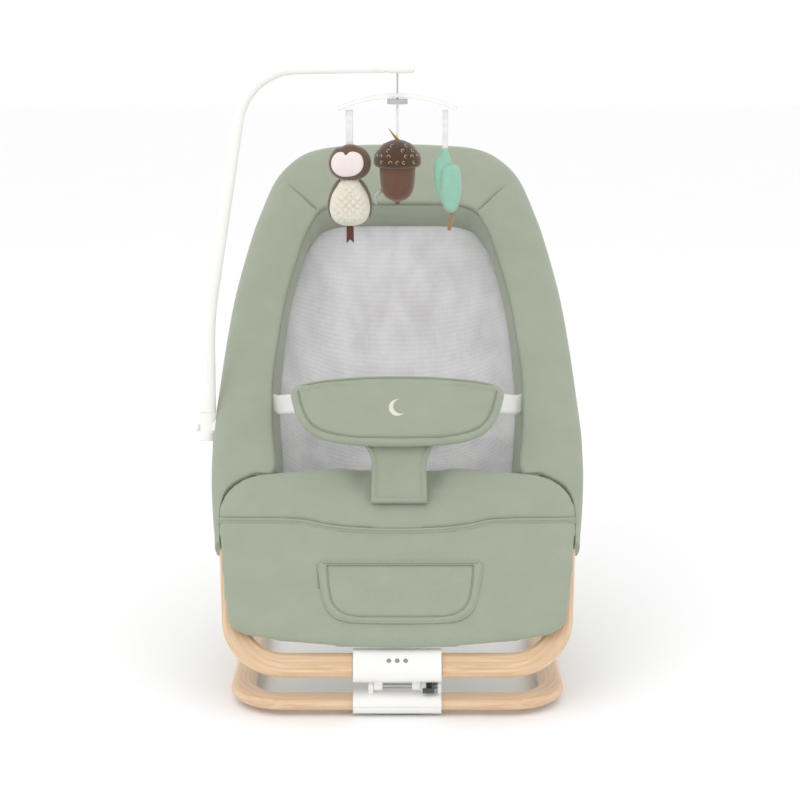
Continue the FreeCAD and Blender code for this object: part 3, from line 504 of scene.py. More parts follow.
def beech_finish(name, look, half, middle, reach, corner, tilt):
    """Steam-bent beech under satin lacquer: fine grain that follows the bend, small ray flecks, a soft gloss.
    half, middle, reach and corner give the bent centre line, in mm, that the grain runs along."""
    material, tree, shader = new_finish(name, {"Roughness": 0.42, "Coat Weight": 0.25, "Coat Roughness": 0.25,
                                               "IOR": 1.5})
    if tree is None:
        return material
    place = add_node(tree, "TexCoord", {}, {})
    moved = add_node(tree, "VectorMath", {"operation": "SUBTRACT"}, {
        0: place.outputs["Object"], 1: (0, 0, SEAT_PIVOT.z if tilt else 0)})
    turn = add_node(tree, "Mapping", {}, {
        "Vector": moved, "Rotation": (math.radians(tilt), 0, 0), "Scale": (1000, 1000, 1000)})
    shifted = add_node(tree, "VectorMath", {"operation": "SUBTRACT"}, {
        0: turn, 1: (0, middle, 0)})
    folded = add_node(tree, "VectorMath", {"operation": "ABSOLUTE"}, {0: shifted})
    beyond = add_node(tree, "VectorMath", {"operation": "SUBTRACT"}, {
        0: folded, 1: (half - corner, reach - corner, 0)})
    flat = add_node(tree, "VectorMath", {"operation": "MULTIPLY"}, {0: beyond, 1: (1, 1, 0)})
    outer = add_node(tree, "VectorMath", {"operation": "MAXIMUM"}, {0: flat, 1: (0, 0, 0)})
    radius = add_node(tree, "VectorMath", {"operation": "LENGTH"}, {0: outer})
    parts = add_node(tree, "SeparateXYZ", {}, {0: beyond})
    larger = add_node(tree, "Math", {"operation": "MAXIMUM"}, {0: parts, 1: parts.outputs[1]})
    inner = add_node(tree, "Math", {"operation": "MINIMUM"}, {0: larger, 1: 0.0})
    over = add_node(tree, "Math", {"operation": "ADD"}, {0: radius.outputs["Value"], 1: inner})
    sides = add_node(tree, "SeparateXYZ", {}, {0: folded})
    along = add_node(tree, "Math", {"operation": "SUBTRACT"}, {0: sides, 1: sides.outputs[1]})
    grain_at = add_node(tree, "CombineXYZ", {}, {
        0: over, 1: sides.outputs[2], 2: along})
    stretched = add_node(tree, "Mapping", {}, {"Vector": grain_at, "Scale": (0.42, 0.3, 0.014)})
    grain = add_node(tree, "TexNoise", {}, {
        "Vector": stretched, "Scale": 1.0, "Detail": 5.0, "Roughness": 0.6, "Distortion": 0.5})
    fleck_at = add_node(tree, "Mapping", {}, {"Vector": grain_at, "Scale": (1.3, 1.3, 0.16)})
    fleck = add_node(tree, "TexNoise", {}, {"Vector": fleck_at, "Scale": 1.0, "Detail": 2.0})
    fleck_dark = add_node(tree, "MapRange", {}, {
        "Value": fleck.outputs["Fac"], "From Min": 0.58, "From Max": 0.75, "To Min": 0.0, "To Max": 0.3})
    bands = add_node(tree, "MapRange", {}, {
        "Value": grain.outputs["Fac"], "From Min": 0.32, "From Max": 0.68, "To Min": 0.0, "To Max": 1.0})
    dark = add_node(tree, "Math", {"operation": "ADD", "use_clamp": True}, {
        0: bands, 1: fleck_dark})
    paint(tree, shader, dark, linear(look.wood), linear(look.wood_shade))
    soft_edge = add_node(tree, "Bevel", {"samples": 4}, {"Radius": 0.0012})
    bump = add_node(tree, "Bump", {}, {
        "Height": grain.outputs["Fac"], "Strength": 0.12, "Distance": 0.0005, "Normal": soft_edge})
    tree.links.new(bump.outputs[0], shader.inputs["Normal"])
    return material


def moulded(name, colour, rough=0.45, grit=0.9, edge=0.8, metal=0.0, brushed=1.0, **more):
    """Moulded plastic, rubber or metal: even colour with a slight drift, a fine grit and softened edges in mm."""
    sockets = {"Roughness": rough, "Metallic": metal}
    sockets.update({key.replace("_", " "): value for key, value in more.items()})
    material, tree, shader = new_finish(name, sockets)
    if tree is None:
        return material
    place = add_node(tree, "TexCoord", {}, {})
    scaled = add_node(tree, "Mapping", {}, {
        "Vector": place.outputs["Object"], "Scale": (1000 / brushed, 1000, 1000)})
    grain = add_node(tree, "TexNoise", {}, {"Vector": scaled, "Scale": 1 / grit, "Detail": 2.0})
    drift = add_node(tree, "TexNoise", {}, {"Vector": scaled, "Scale": 0.03, "Detail": 2.0})
    base = linear(colour)
    paint(tree, shader, drift.outputs["Fac"], base, [c * 0.93 for c in base[:3]] + [1.0])
    soft_edge = add_node(tree, "Bevel", {"samples": 4}, {"Radius": edge * 0.001})
    bump = add_node(tree, "Bump", {}, {
        "Height": grain.outputs["Fac"], "Strength": 0.1, "Distance": 0.0002, "Normal": soft_edge})
    tree.links.new(bump.outputs[0], shader.inputs["Normal"])
    return material


def white_plastic(look):
    """Polypropylene, moulded white with a fine matt grain: bright, with a broad soft highlight."""
    return moulded("matt_white_polypropylene", look.plastic, rough=0.4, edge=1.4)


FRAME_FINISHES = {
    # Glass-filled nylon, moulded charcoal: matt, nearly black inside its recesses.
    "charcoal_nylon": (("latch_slider", "vibration_case_rear", "battery_door", "vibration_case_front"),
                       dict(colour="#4A4B4D", rough=0.5)),
    # Acetal, moulded mid grey: slightly waxy.
    "grey_acetal": (("snap_button_right", "snap_button_left", "frame_joiners", "strap_clips", "pad_sockets",
                     "power_button"), dict(colour="#9A9C9D", rough=0.42)),
    # Thermoplastic rubber, moulded light grey: dull, no clear highlight.
    "grey_rubber": (("rubber_feet",), dict(colour="#A9AAA8", rough=0.85)),
    # Bright zinc-plated steel: a cool metal with fine turning marks.
    "zinc_plated_steel": (("hinge_pin", "torsion_core", "base_screws", "upper_sleeve_screws", "case_screws",
                           "arm_clamp_screws", "eccentric_weight", "vibration_motor"),
                          dict(colour="#B9BCBF", rough=0.3, metal=1.0, edge=0.2, grit=0.5)),
    # Oil-tempered spring steel: darker and smoother than the plated parts.
    "spring_steel": (("latch_spring", "bounce_spring"), dict(colour="#7C7E80", rough=0.28, metal=1.0, edge=0.1)),
    # Powder-coated steel tube: pale grey, with a fine orange-peel skin.
    "powder_coated_steel": (("back_frame_tube",), dict(colour="#C9CBCB", rough=0.5, grit=1.6)),
    # Shrink-sleeved alkaline cells: a smooth dark sleeve.
    "cell_sleeve": (("battery_cells",), dict(colour="#2F5A4B", rough=0.25)),
    # Solder-masked glass-epoxy board: green, glossy.
    "solder_mask": (("circuit_board",), dict(colour="#24613F", rough=0.25)),
}
WHITE_NODES = ("hinge_base_shell", "sleeve_bottom_shells", "upper_sleeve_front_shell", "upper_sleeve_rear_shell",
               "rear_joiner_top", "arm_clamp_inner", "arm_socket", "toy_arm_tube", "toy_arm_cap", "mobile_bar",
               "arm_release_knob")


# ---------------------------------------------------------------- outlines, in mm on the seat plane
BORDER_OUTER = ((205.5, 141), (210.5, 185), (213.5, 216), (215, 240), (215.5, 264), (215.5, 292), (212, 350),
                (207, 420), (199.5, 492), (186, 570), (174.5, 619), (156, 676), (129, 711), (99, 726), (50, 732),
                (0, 733))
BORDER_SEAM = ((200, 141), (201, 186), (192, 211), (166, 228), (142, 234), (146, 292), (148.5, 350), (143.5, 420),
               (135, 490), (118, 568), (110, 591), (100, 613), (87, 622), (68, 626), (35, 627), (0, 627))
MESH_EDGE = ((133, 230, -40), (139, 292, -36), (143, 350, -33), (141.5, 420, -29), (135.5, 490, -25),
             (120.5, 566, -20), (111, 588, -18), (99, 606, -16), (86, 613, -15), (68, 616.5, -14), (35, 618, -14),
             (0, 618.5, -14))
WELL_DEPTH = ((215, -62), (262, -67), (310, -69), (380, -60), (460, -46), (540, -30), (619, -14))
MITRE = ((146, 662), (101, 614))
LEG_REST = ((0, 12), (54, 14), (108, 18.5), (152, 25), (172, 30.5), (182, 39), (188, 56), (192, 82), (195.5, 107),
            (198, 130), (200, 145), (201.5, 160), (200, 168.5), (180, 168), (113, 166.6), (79, 159.8), (45, 155.8),
            (0, 154.4))
KNEE_PAD = ((0, 154.9), (45, 156.3), (79, 160.3), (113, 167.2), (180, 168.6), (200, 169.1), (202, 176), (200, 191),
            (194, 205), (183.5, 217), (165, 228), (142, 233), (104, 238), (62, 242), (0, 243))
POCKET = ((0, 38.6), (33, 39), (56, 40.6), (69, 44.5), (78, 53), (83.5, 66), (87, 84), (90, 104), (90.5, 111),
          (86, 112.6), (40, 112.8), (0, 113))
POCKET_STITCH = ((81, 107), (79, 84), (75.5, 66), (68.5, 54.5), (56, 47.4), (33, 45.4), (0, 45.2))
POCKET_ASIDE = 3.2
WAIST_PAD = ((0, 60.5), (34, 61), (60, 63), (82, 67.5), (98, 74.5), (109, 85.5), (116, 99), (120, 112),
             (121.5, 121), (119, 128.5), (110, 133.5), (82, 138.8), (40, 142.2), (0, 143))
CROTCH_STRAP = ((0, -3), (30, -3), (32, -1), (31.6, 12), (31, 34), (32, 48), (37, 60), (46, 70), (40, 76), (0, 76))


def border_rings(stations, swell):
    """Sections of the padded border: rolled outer edge, crowned front, inner seam, inner wall and back."""
    outer_line, seam_line = across(BORDER_OUTER), across(BORDER_SEAM)
    at = np.linspace(0, len(outer_line) - 1, stations)
    outer, seam = spline(outer_line, at), spline(seam_line, at)
    rings = []
    for (ox, ou), (ix, iu) in zip(outer, seam):
        width = math.hypot(ox - ix, ou - iu)
        front = np.concatenate([22 * (1 - np.cos(np.linspace(0, math.pi / 2, 9))), np.linspace(26, 52, 4),
                                np.array([58.0, 64.0, 70.0, 76.0])])
        front = np.concatenate([front[front < width - 7], width - np.array([6.0, 3.6, 1.8, 0.7, 0.0])])
        front = np.clip(front, 0, width)
        whole = np.interp(np.linspace(0, 1, 24), np.linspace(0, 1, len(front)), front)
        top = 5 + 19 * rise(whole, 22) + swell * np.sin(math.pi * whole / width) * min(width / 60, 1.0)
        top -= 2.4 * (1 - rise(width - whole, 4.5)) * min(width / 20, 1.0)
        wall_n = np.array([15.0, 8.0, 0.0, -7.0])
        wall_n = np.minimum(wall_n, top[-1] - 1 - np.arange(4) * 2)
        under = np.linspace(width - 3, 9, 5) if width > 14 else np.full(5, width * 0.6)
        roll = np.array([6.0, 3.0, 1.0, 0.2]) if width > 8 else np.array([0.3, 0.2, 0.1, 0.0]) * width
        a = np.concatenate([whole, np.full(4, width + 1.5), under, roll])
        n = np.concatenate([top, wall_n, np.full(5, -13.0), [-12.0, -9.0, -5.0, -0.5]])
        t = (a / width)[:, None]
        flat = np.array([ox, ou]) * (1 - t) + np.array([ix, iu]) * t
        rings.append(np.column_stack([flat, n]))
    return np.array(rings)


# ---------------------------------------------------------------- settings
class BouncerLook(bpy.types.PropertyGroup):
    """Colours of the cloth, wood and plastic."""
    cover: StringProperty(name="Cover", description="Cover cloth, as an sRGB hex colour", default="#A5AC9B")
    # cover_shade is the cover's deeper tone, and also the painted seam shade of the welts
    cover_shade: StringProperty(name="Cover shade", description="Deeper tone of the cover", default="#8F9784")
    mesh: StringProperty(name="Mesh", description="Back mesh, as an sRGB hex colour", default="#DCDADC")
    # mesh_shade is the painted shade in the mesh's holes and folds
    mesh_shade: StringProperty(name="Mesh shade", description="Holes and folds of the mesh", default="#B8B5BA")
    wood: StringProperty(name="Wood", description="Lacquered beech, as an sRGB hex colour", default="#E6C9AA")
    wood_shade: StringProperty(name="Grain", description="Darker grain of the beech", default="#D0AA80")
    plastic: StringProperty(name="Plastic", description="White mouldings", default="#F6F5F1")


class BouncerPadding(bpy.types.PropertyGroup):
    """How full the sewn pads are."""
    swell: FloatProperty(name="Border swell", description="Crown of the border above its edges, mm", default=2.6,
                         min=0, max=6)
    seam: FloatProperty(name="Seam depth", description="Depth of the sewn channels, mm", default=2.2, min=0, max=4)
    stations: IntProperty(name="Stations", description="Sections along the border", default=260, min=80, max=600)


class BouncerStage(bpy.types.PropertyGroup):
    """Floor, light and camera."""
    height: FloatProperty(name="Camera height", description="Above the floor", default=0.7427, unit="LENGTH")
    distance: FloatProperty(name="Camera distance", description="In front of the front bar", default=1.8538,
                            unit="LENGTH")
    aside: FloatProperty(name="Camera aside", description="To the right of the middle", default=0.003,
                         unit="LENGTH")
    pitch: FloatProperty(name="Camera pitch", description="Downward tilt", default=math.radians(12),
                         subtype="ANGLE")
    lens: FloatProperty(name="Lens", description="Focal length, mm", default=81.0, min=20, max=200)
    floor: FloatVectorProperty(name="Floor", description="Floor and backdrop", subtype="COLOR", size=3,
                               default=(0.96, 0.96, 0.96), min=0, max=1)


# ---------------------------------------------------------------- operators
class BOUNCER_OT_frame(bpy.types.Operator):
    """Wood, plastic, rubber and metal finishes on the parts that are carried over"""
    bl_idname = "bouncer.frame"
    bl_label = "Frame finishes"

    def execute(self, context):
        look = context.scene.bouncer_look
        base = beech_finish("lacquered_beech_base", look, 168, 300, 300, 60, 0)
        upper = beech_finish("lacquered_beech_upper", look, 176, 400, 400, 58, -45)
        chosen = {"base_rail_right": base, "base_rail_left": base, "front_rail_right": upper,
                  "front_rail_left": upper}
        chosen.update({n: white_plastic(look) for n in WHITE_NODES})
        for name, (nodes, values) in FRAME_FINISHES.items():
            chosen.update({n: moulded(name, **values) for n in nodes})
        # Polycarbonate, moulded pale grey: the smooth disc and pin that turn under the arm.
        chosen["mobile_hanger"] = moulded("grey_polycarbonate", "#B9BABB", rough=0.3)
        for name, obj in frame["nodes"].items():
            material = chosen.get(name)
            if material is None:
                continue
            obj.data.materials.clear()
            obj.data.materials.append(material)
        return {"FINISHED"}


class BOUNCER_OT_border(bpy.types.Operator):
    """Padded border of the seat, with its corner seams and the seam round the well"""
    bl_idname = "bouncer.border"
    bl_label = "Seat border"

    def execute(self, context):
        look, pad = context.scene.bouncer_look, context.scene.bouncer_padding
        rings = border_rings(pad.stations, pad.swell)
        shape = rings.reshape(-1, 3)
        front = shape[:, 2] > 12
        for side in (1, -1):
            seam = np.array(MITRE) * [side, 1]
            near = gap_to(shape[:, :2], seam)
            shape[:, 2] -= front * pad.seam * channel(near, 2.4)
        shape[:, 2] += front * 0.5 * soft_noise(shape[:, :2], 60, 3)
        corners, faces = loft(seat(shape).reshape(rings.shape))
        piece("seat_border", (corners, faces), sage_cloth(look), "seat",
              ("border_pad_right", "border_pad_left", "border_pad_top"))
        line = even(across(BORDER_SEAM[3:]), 3.0)
        welts = [cord_round(raised(line, 20.4), 1.1, 8)]
        for side in (1, -1):
            run = [(101.5 * side, 614.5, 20.2), (104.5 * side, 618, 23.0), (112 * side, 626, 24.6),
                   (124 * side, 639, 25.0), (136 * side, 651.5, 24.6), (146 * side, 662, 23.6)]
            line = even(run, 2.0)
            taper = np.interp(np.linspace(0, 1, len(line)), (0, 0.7, 1), (1.1, 1.0, 0.3))
            welts.append(cord_round(seat(line), taper, 8))
        # coloured in the welt's painted seam shade
        piece("border_seam_welts", joined(*welts), seam_shade_welt(look), "seat")
        return {"FINISHED"}


def seam_shade_welt(look):
    """The cover cloth folded into a narrow welt: the same knit, coloured darker as painted shade where it turns into
    the seam.
    """
    # painted shade: the welt takes the cover's deeper tone and a deeper sage, for the shade in the seam groove
    return cloth_finish("knit_welt_sage_painted_shade", look.cover_shade, "#7F8875", 1.4, weave=0.6, lumps=20.0)


class BOUNCER_OT_well(bpy.types.Operator):
    """Well of the seat: padded inner wall, mesh back and sling"""
    bl_idname = "bouncer.well"
    bl_label = "Well"

    def execute(self, context):
        look = context.scene.bouncer_look
        seam_line, edge_line = across(BORDER_SEAM[4:]), across(MESH_EDGE)
        at = np.linspace(0, len(edge_line) - 1, 190)
        seam, edge = spline(seam_line, at), spline(edge_line, at)
        rings = []
        for i, (top, low) in enumerate(zip(seam, edge)):
            way = seam[min(i + 1, len(seam) - 1)] - seam[max(i - 1, 0)]
            inward = np.array([-way[1], way[0]]) / (math.hypot(*way) + 1e-9)
            t = np.linspace(0, 1, 14)
            bulge = 4.2 * np.sin(math.pi * t) ** 0.7
            flat = top * (1 - t[:, None]) + low[:2] * t[:, None] + inward * bulge[:, None]
            n = 19.5 * (1 - t) + low[2] * t
            back = flat[::-1][1:-1] - inward * 6 * np.sin(math.pi * t[1:-1, None])
            rings.append(np.vstack([np.column_stack([flat, n]), np.column_stack([back, n[::-1][1:-1]])]))
        rings = np.array(rings)
        piece("well_wall", loft(seat(rings).reshape(rings.shape)), sage_cloth(look), "seat",
              ("well_walls",))

        depth = np.array(WELL_DEPTH, float)
        right = spline(MESH_EDGE[:-1], np.linspace(0.45, len(MESH_EDGE) - 2, 90))
        rows = []
        for ex, eu, en in right:
            s = np.linspace(-1, 1, 72)
            middle = np.interp(eu, depth[:, 0], depth[:, 1])
            n = middle + (en - middle) * np.abs(s) ** 2.6
            rows.append(np.column_stack([s * (ex + 1.5), np.full(72, eu), n]))
        rows = np.array(rows)
        flat = rows.reshape(-1, 3)
        flat[:, 2] += 2.4 * soft_noise(flat[:, :2], 34, 5) * np.clip((360 - flat[:, 1]) / 90, 0.15, 1)
        back = piece("back_mesh", loft(seat(flat).reshape(rows.shape), closed_ring=False), air_mesh(look), "seat",
                     ("mesh_back",))
        thicken(back, SHEET_THICK)
        slope = [(262, -68), (240, -69), (222, -66), (208, -52), (202, -30), (200, -8), (199, 6)]
        run = even(slope, 4.0)
        s = np.linspace(-1, 1, 60)
        rows = []
        for u, n in run:
            corner = np.clip((242 - u) / 16, 0, 1)
            side = max(n, -38.0 + 46.0 * corner)
            rows.append(np.column_stack([s * (136.5 + 2.5 * corner), np.full(60, u),
                                         n + (side - n) * np.abs(s) ** (2.6 + 5 * corner)]))
        rows = np.array(rows)
        sling = piece("knee_sling", loft(seat(rows).reshape(rows.shape), closed_ring=False), sage_cloth(look),
                      "seat", ("seat_sling",))
        thicken(sling, SHEET_THICK)
        return {"FINISHED"}


class BOUNCER_OT_front_panel(bpy.types.Operator):
    """Leg rest, knee pad and the stitched pocket"""
    bl_idname = "bouncer.front_panel"
    bl_label = "Front panel"

    def execute(self, context):
        look = context.scene.bouncer_look
        cloth = sage_cloth(look)

        def leg_edge(p):
            return 15.5 + 4.0 * np.clip((p[:, 1] - 140) / 18, 0, 1)

        def leg_front(p, d):
            crown = 1.4 * np.clip(d / 60, 0, 1) ** 0.6
            return leg_edge(p) + (23.7 - leg_edge(p)) * rise(d, 9) + crown + 0.35 * soft_noise(p, 70, 11)

        outline = even(both_sides(LEG_REST), 4.0, closed=True)
        rest = piece("leg_rest_pad", stuffed(outline, seat, leg_front, lambda p, d: leg_edge(p) * (1 - rise(d, 5))
                                             + 11.2 * rise(d, 5), leg_edge, 9.0),
                     cloth, "seat", ("leg_rest",))
        inflate(rest, outline, 2.2, even(both_sides(POCKET), 4.0, closed=True) + np.array([POCKET_ASIDE, 0.0]))
        make_room(rest, "vibration_case_front")

        def knee_edge(p):
            return np.where(p[:, 1] > 229, 6.0, 19.5)

        def knee_front(p, d):
            to_crest = np.clip((p[:, 1] - 154) / 70, 0, 1)
            low = np.where(p[:, 1] > 222, 19.5 - 13.5 * np.clip((p[:, 1] - 222) / 12, 0, 1), 19.5)
            high = 24.5 + 3.2 * to_crest + 0.4 * soft_noise(p, 60, 12)
            high -= 15.0 * np.exp(-((np.abs(p[:, 0]) - 36) / 20) ** 2) * np.clip((p[:, 1] - 186) / 46, 0, 1) ** 1.5
            deep = np.where(p[:, 1] > 200, 7 + 9 * np.clip((p[:, 1] - 200) / 30, 0, 1), 7)
            return low + (high - low) * rise(d, deep)

        outline = even(both_sides(KNEE_PAD), 4.0, closed=True)
        roll = piece("knee_roll", stuffed(outline, seat, knee_front, lambda p, d: knee_edge(p) * (1 - rise(d, 4))
                                          + 5 * rise(d, 4), knee_edge, 9.0),
                     cloth, "seat", ("knee_pad",))
        inflate(roll, outline, 3.0)
        line = even(across(((201, 168.8), (180, 168.3), (113, 166.9), (79, 160.05), (45, 156.05), (0, 154.65))), 3.0)
        ridge = raised(line, 22.8)
        fold = raised(line - [0, 2.0], 20.6)
        piece("front_seam_welt", joined(cord_round(ridge, 1.9, 10), cord_round(fold, 2.6, 10)), cloth, "seat")

        aside = np.array([POCKET_ASIDE, 0.0])
        stitched = across(POCKET_STITCH) + aside

        def pocket_front(p, d):
            body = 24.6 + 3.0 * rise(d, 2.6) + 0.9 * np.clip((d - 8) / 20, 0, 1)
            return body - 1.3 * channel(gap_to(p, stitched), 1.1)

        outline = even(both_sides(POCKET), 2.5, closed=True) + aside
        piece("pocket_panel", stuffed(outline, seat, pocket_front, level(23.4),
                                      level(24.6), 2.6, step=2.4),
              cloth, "seat", ("pocket_flap",))
        rim = even(across(POCKET[:-3][::-1]), 2.5) + aside
        cords = [cord_round(raised(rim, 25.4), 1.4, 8)]
        top = np.array([(x + POCKET_ASIDE, 112.6, 26.0) for x in np.linspace(-88, 88, 60)])
        cords.append(cord_round(seat(top), 1.4, 8))
        piece("pocket_piping", joined(*cords), cloth, "seat")
        line = even(stitched, 2.5)
        cords = [cord_round(raised(line, 26.9), 1.0, 8)]
        for u, n, reach in ((107.4, 28.2, 81), (110.2, 27.3, 86)):
            top = np.array([(x + POCKET_ASIDE, u, n) for x in np.linspace(-reach, reach, 60)])
            cords.append(cord_round(seat(top), 0.7, 8))
        slit = even([(x + POCKET_ASIDE, u, n) for x, u, n in ((-92.4, 110, 24.6), (-91.2, 96, 24.8),
                                                              (-89.4, 80, 24.8))], 2.0)
        cords.append(cord_round(seat(slit), 1.0, 8))
        # coloured in the welt's painted seam shade
        piece("pocket_stitching", joined(*cords), seam_shade_welt(look), "seat")
        return {"FINISHED"}


class BOUNCER_OT_harness(bpy.types.Operator):
    """Crotch strap, waist pad with its small moon, and the side webbing"""
    bl_idname = "bouncer.harness"
    bl_label = "Harness"

    def execute(self, context):
        look, pad = context.scene.bouncer_look, context.scene.bouncer_padding
        cloth = sage_cloth(look)
        outline = even(both_sides(WAIST_PAD), 3.0, closed=True)

        def inset(p, d):
            want = np.where(p[:, 1] > 131, 3.2, 9.5)
            return d - want

        def waist_front(p, d):
            full = 10 + 6.0 * rise(d, 7) + 2.2 * np.clip((d - 9.5) / 20, 0, 1) ** 0.7
            return full - pad.seam * 0.75 * channel(inset(p, d), 1.5) + 0.25 * soft_noise(p, 36, 21)

        piece("waist_pad_cover", stuffed(outline, harness, waist_front, lambda p, d: 10 - 6.6 * rise(d, 7),
                                         level(10.0), 7.0, step=2.6),
              cloth, "harness", ("waist_pad",))

        way = np.roll(outline, -1, 0) - np.roll(outline, 1, 0)
        inward = np.column_stack([-way[:, 1], way[:, 0]]) / np.linalg.norm(way, axis=1)[:, None]
        deep = np.where(outline[:, 1] > 131, 3.2, 9.5)
        deep = np.convolve(np.tile(deep, 3), np.ones(7) / 7, "same")[len(deep):2 * len(deep)]
        line = outline + inward * deep[:, None]
        seam = harness(np.column_stack([line, np.where(deep > 6, 15.3, 13.8)]))
        # coloured in the welt's painted seam shade
        piece("waist_pad_welt", cord_round(seam, 1.0, 8, closed=True), seam_shade_welt(look), "harness")

        outer = [(7.2 * math.cos(a), 7.2 * math.sin(a)) for a in np.radians(np.linspace(59, 301, 32))]
        inner = [(3.0 + 6.2 * math.cos(a), 6.2 * math.sin(a)) for a in np.radians(np.linspace(275, 85, 26))]
        turn = math.radians(20)
        moon = np.array([(1.35 * (x * math.cos(turn) - z * math.sin(turn)),
                          1.35 * (x * math.sin(turn) + z * math.cos(turn)) + 104) for x, z in outer + inner])
        # Rayon embroidery, ivory: dense satin stitch that stands just proud of the pad.
        ivory = cloth_finish("satin_stitch_ivory", "#F0EEE4", "#DCD9CC", 0.8, weave=1.0, lumps=9.0, fuzz=0.1,
                             rough=0.55)
        piece("moon_embroidery", stuffed(moon, harness, lambda p, d: 18.3 + 0.6 * rise(d, 0.6),
                                         level(17.6), level(18.2), 0.6,
                                         step=1.0), ivory, "harness")

        def strap_front(p, d):
            ridge = 2.4 * channel(d - 2.8, 2.0) - 1.2 * channel(d - 6.2, 1.1)
            return 0.6 + 2.2 * rise(d, 2.2) + ridge

        outline = even(both_sides(CROTCH_STRAP), 2.5, closed=True) + np.array([2.0, 0.0])
        piece("crotch_strap_cover", stuffed(outline, harness, strap_front, lambda p, d: 0.6 - 3.2 * rise(d, 2.2),
                                            level(0.6), 2.2, step=2.2),
              cloth, "harness", ("crotch_strap",))

        # Polyester webbing, woven white in flat ribs 1.2 mm apart: crisp, with little sheen.
        white = cloth_finish("ribbed_webbing_white", "#F2F1EE", "#D9D8D4", 1.2, weave=1.0, lumps=18.0, fuzz=0.1)
        for side, name in ((1, "right"), (-1, "left")):
            u0, n0 = ANCHOR_U + 116 * math.cos(HARNESS_TILT), ANCHOR_N + 116 * math.sin(HARNESS_TILT) - 4.5
            line = even([(96 * side, u0, n0), (112 * side, u0 + 6, n0 - 9), (130 * side, u0 + 17, n0 - 28),
                         (141 * side, u0 + 28, n0 - 46), (150 * side, u0 + 35, 12)], 2.0)
            rows = np.array([[(x, u + v * 0.98, n + v * 0.16) for v in np.linspace(-WEBBING_HALF, WEBBING_HALF, 7)]
                             for x, u, n in line])
            strap = piece(f"side_webbing_{name}", loft(seat(rows).reshape(rows.shape), closed_ring=False), white,
                          "seat", ("side_straps",))
            thicken(strap, WEBBING_THICK)
        return {"FINISHED"}


class BOUNCER_OT_sleeve_dots(bpy.types.Operator):
    """Three small raised dots on the upper front sleeve"""
    bl_idname = "bouncer.sleeve_dots"
    bl_label = "Sleeve dots"

    def execute(self, context):
        # Grey printing ink on the white moulding: thin, even, slightly glossier than the plastic.
        ink = moulded("pad_printed_grey", "#8F9193", rough=0.35, edge=0.2)
        parts = []
        for x in (-9.0, 0.0, 9.0):
            rings = []
            for r, out in ((2.6, -0.6), (2.6, 0.15), (2.2, 0.4), (0.4, 0.5)):
                turn = np.arange(24) * 2 * math.pi / 24
                rings.append(seat(np.column_stack([x + r * np.cos(turn), -1.0 + r * np.sin(turn),
                                                   (13.5 + out) * np.ones(24)])))
            parts.append(loft(rings))
        piece("sleeve_dots", joined(*parts), ink, "fold_sleeve")
        return {"FINISHED"}


def felt(name, colour, shade):
    """Wool-blend felt: pressed fibre with no threads, a soft nap and slight mottling."""
    return cloth_finish(name, colour, shade, 0.9, weave=0.1, lumps=7.0, fuzz=0.5, rough=0.95, tilt=0.0, crease=0.2)


def hung_ribbon(name, joint, x_top, half, low, top, body, stands_for, material):
    """A woven ribbon from the bar down to its toy, with a slight ripple."""
    place = hanging(joint)
    z = np.linspace(low, top, 24)
    rows = np.array([[(x, h, 0.5 * math.sin((h - low) / 9)) for x in np.linspace(-half, half, 7)] for h in z])
    made = piece(name, loft(place(rows).reshape(rows.shape), closed_ring=False), material, body, stands_for)
    thicken(made, RIBBON_THICK)
    return made


def white_ribbon():
    """Grosgrain ribbon, woven white with cross ribs 1 mm apart: matt, slightly see-through at the edges."""
    return cloth_finish("grosgrain_ribbon_white", "#F3F3F1", "#DDDDDA", 1.0, weave=1.0, lumps=12.0, fuzz=0.1,
                        tilt=0.0)


class BOUNCER_OT_arm_cap(bpy.types.Operator):
    """Rounded cap on the tip of the toy arm"""
    bl_idname = "bouncer.arm_cap"
    bl_label = "Arm cap"

    def execute(self, context):
        look = context.scene.bouncer_look
        low, high = (np.array(v) * 1000 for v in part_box("toy_arm_cap"))
        middle, half = (low + high) / 2, (high - low) / 2
        lean = math.radians(7.5)

        def squared(wave):
            return np.sign(wave) * np.abs(wave) ** 0.75

        rings = []
        for t in np.radians(np.linspace(-88, 88, 40)):
            along = half[0] * math.copysign(abs(math.sin(t)) ** 0.75, t)
            full = math.cos(t) ** 0.28
            turn = np.arange(36) * 2 * math.pi / 36
            wide, tall = squared(np.cos(turn)) * 7.8 * full, squared(np.sin(turn)) * 6.7 * full
            rings.append(np.column_stack([np.full(36, middle[0] + along),
                                          middle[1] + wide * math.cos(lean) + tall * math.sin(lean),
                                          middle[2] - wide * math.sin(lean) + tall * math.cos(lean)]) * 0.001)
        piece("arm_tip_cap", loft(rings), white_plastic(look), "toy_arm", ("toy_arm_cap",))
        return {"FINISHED"}


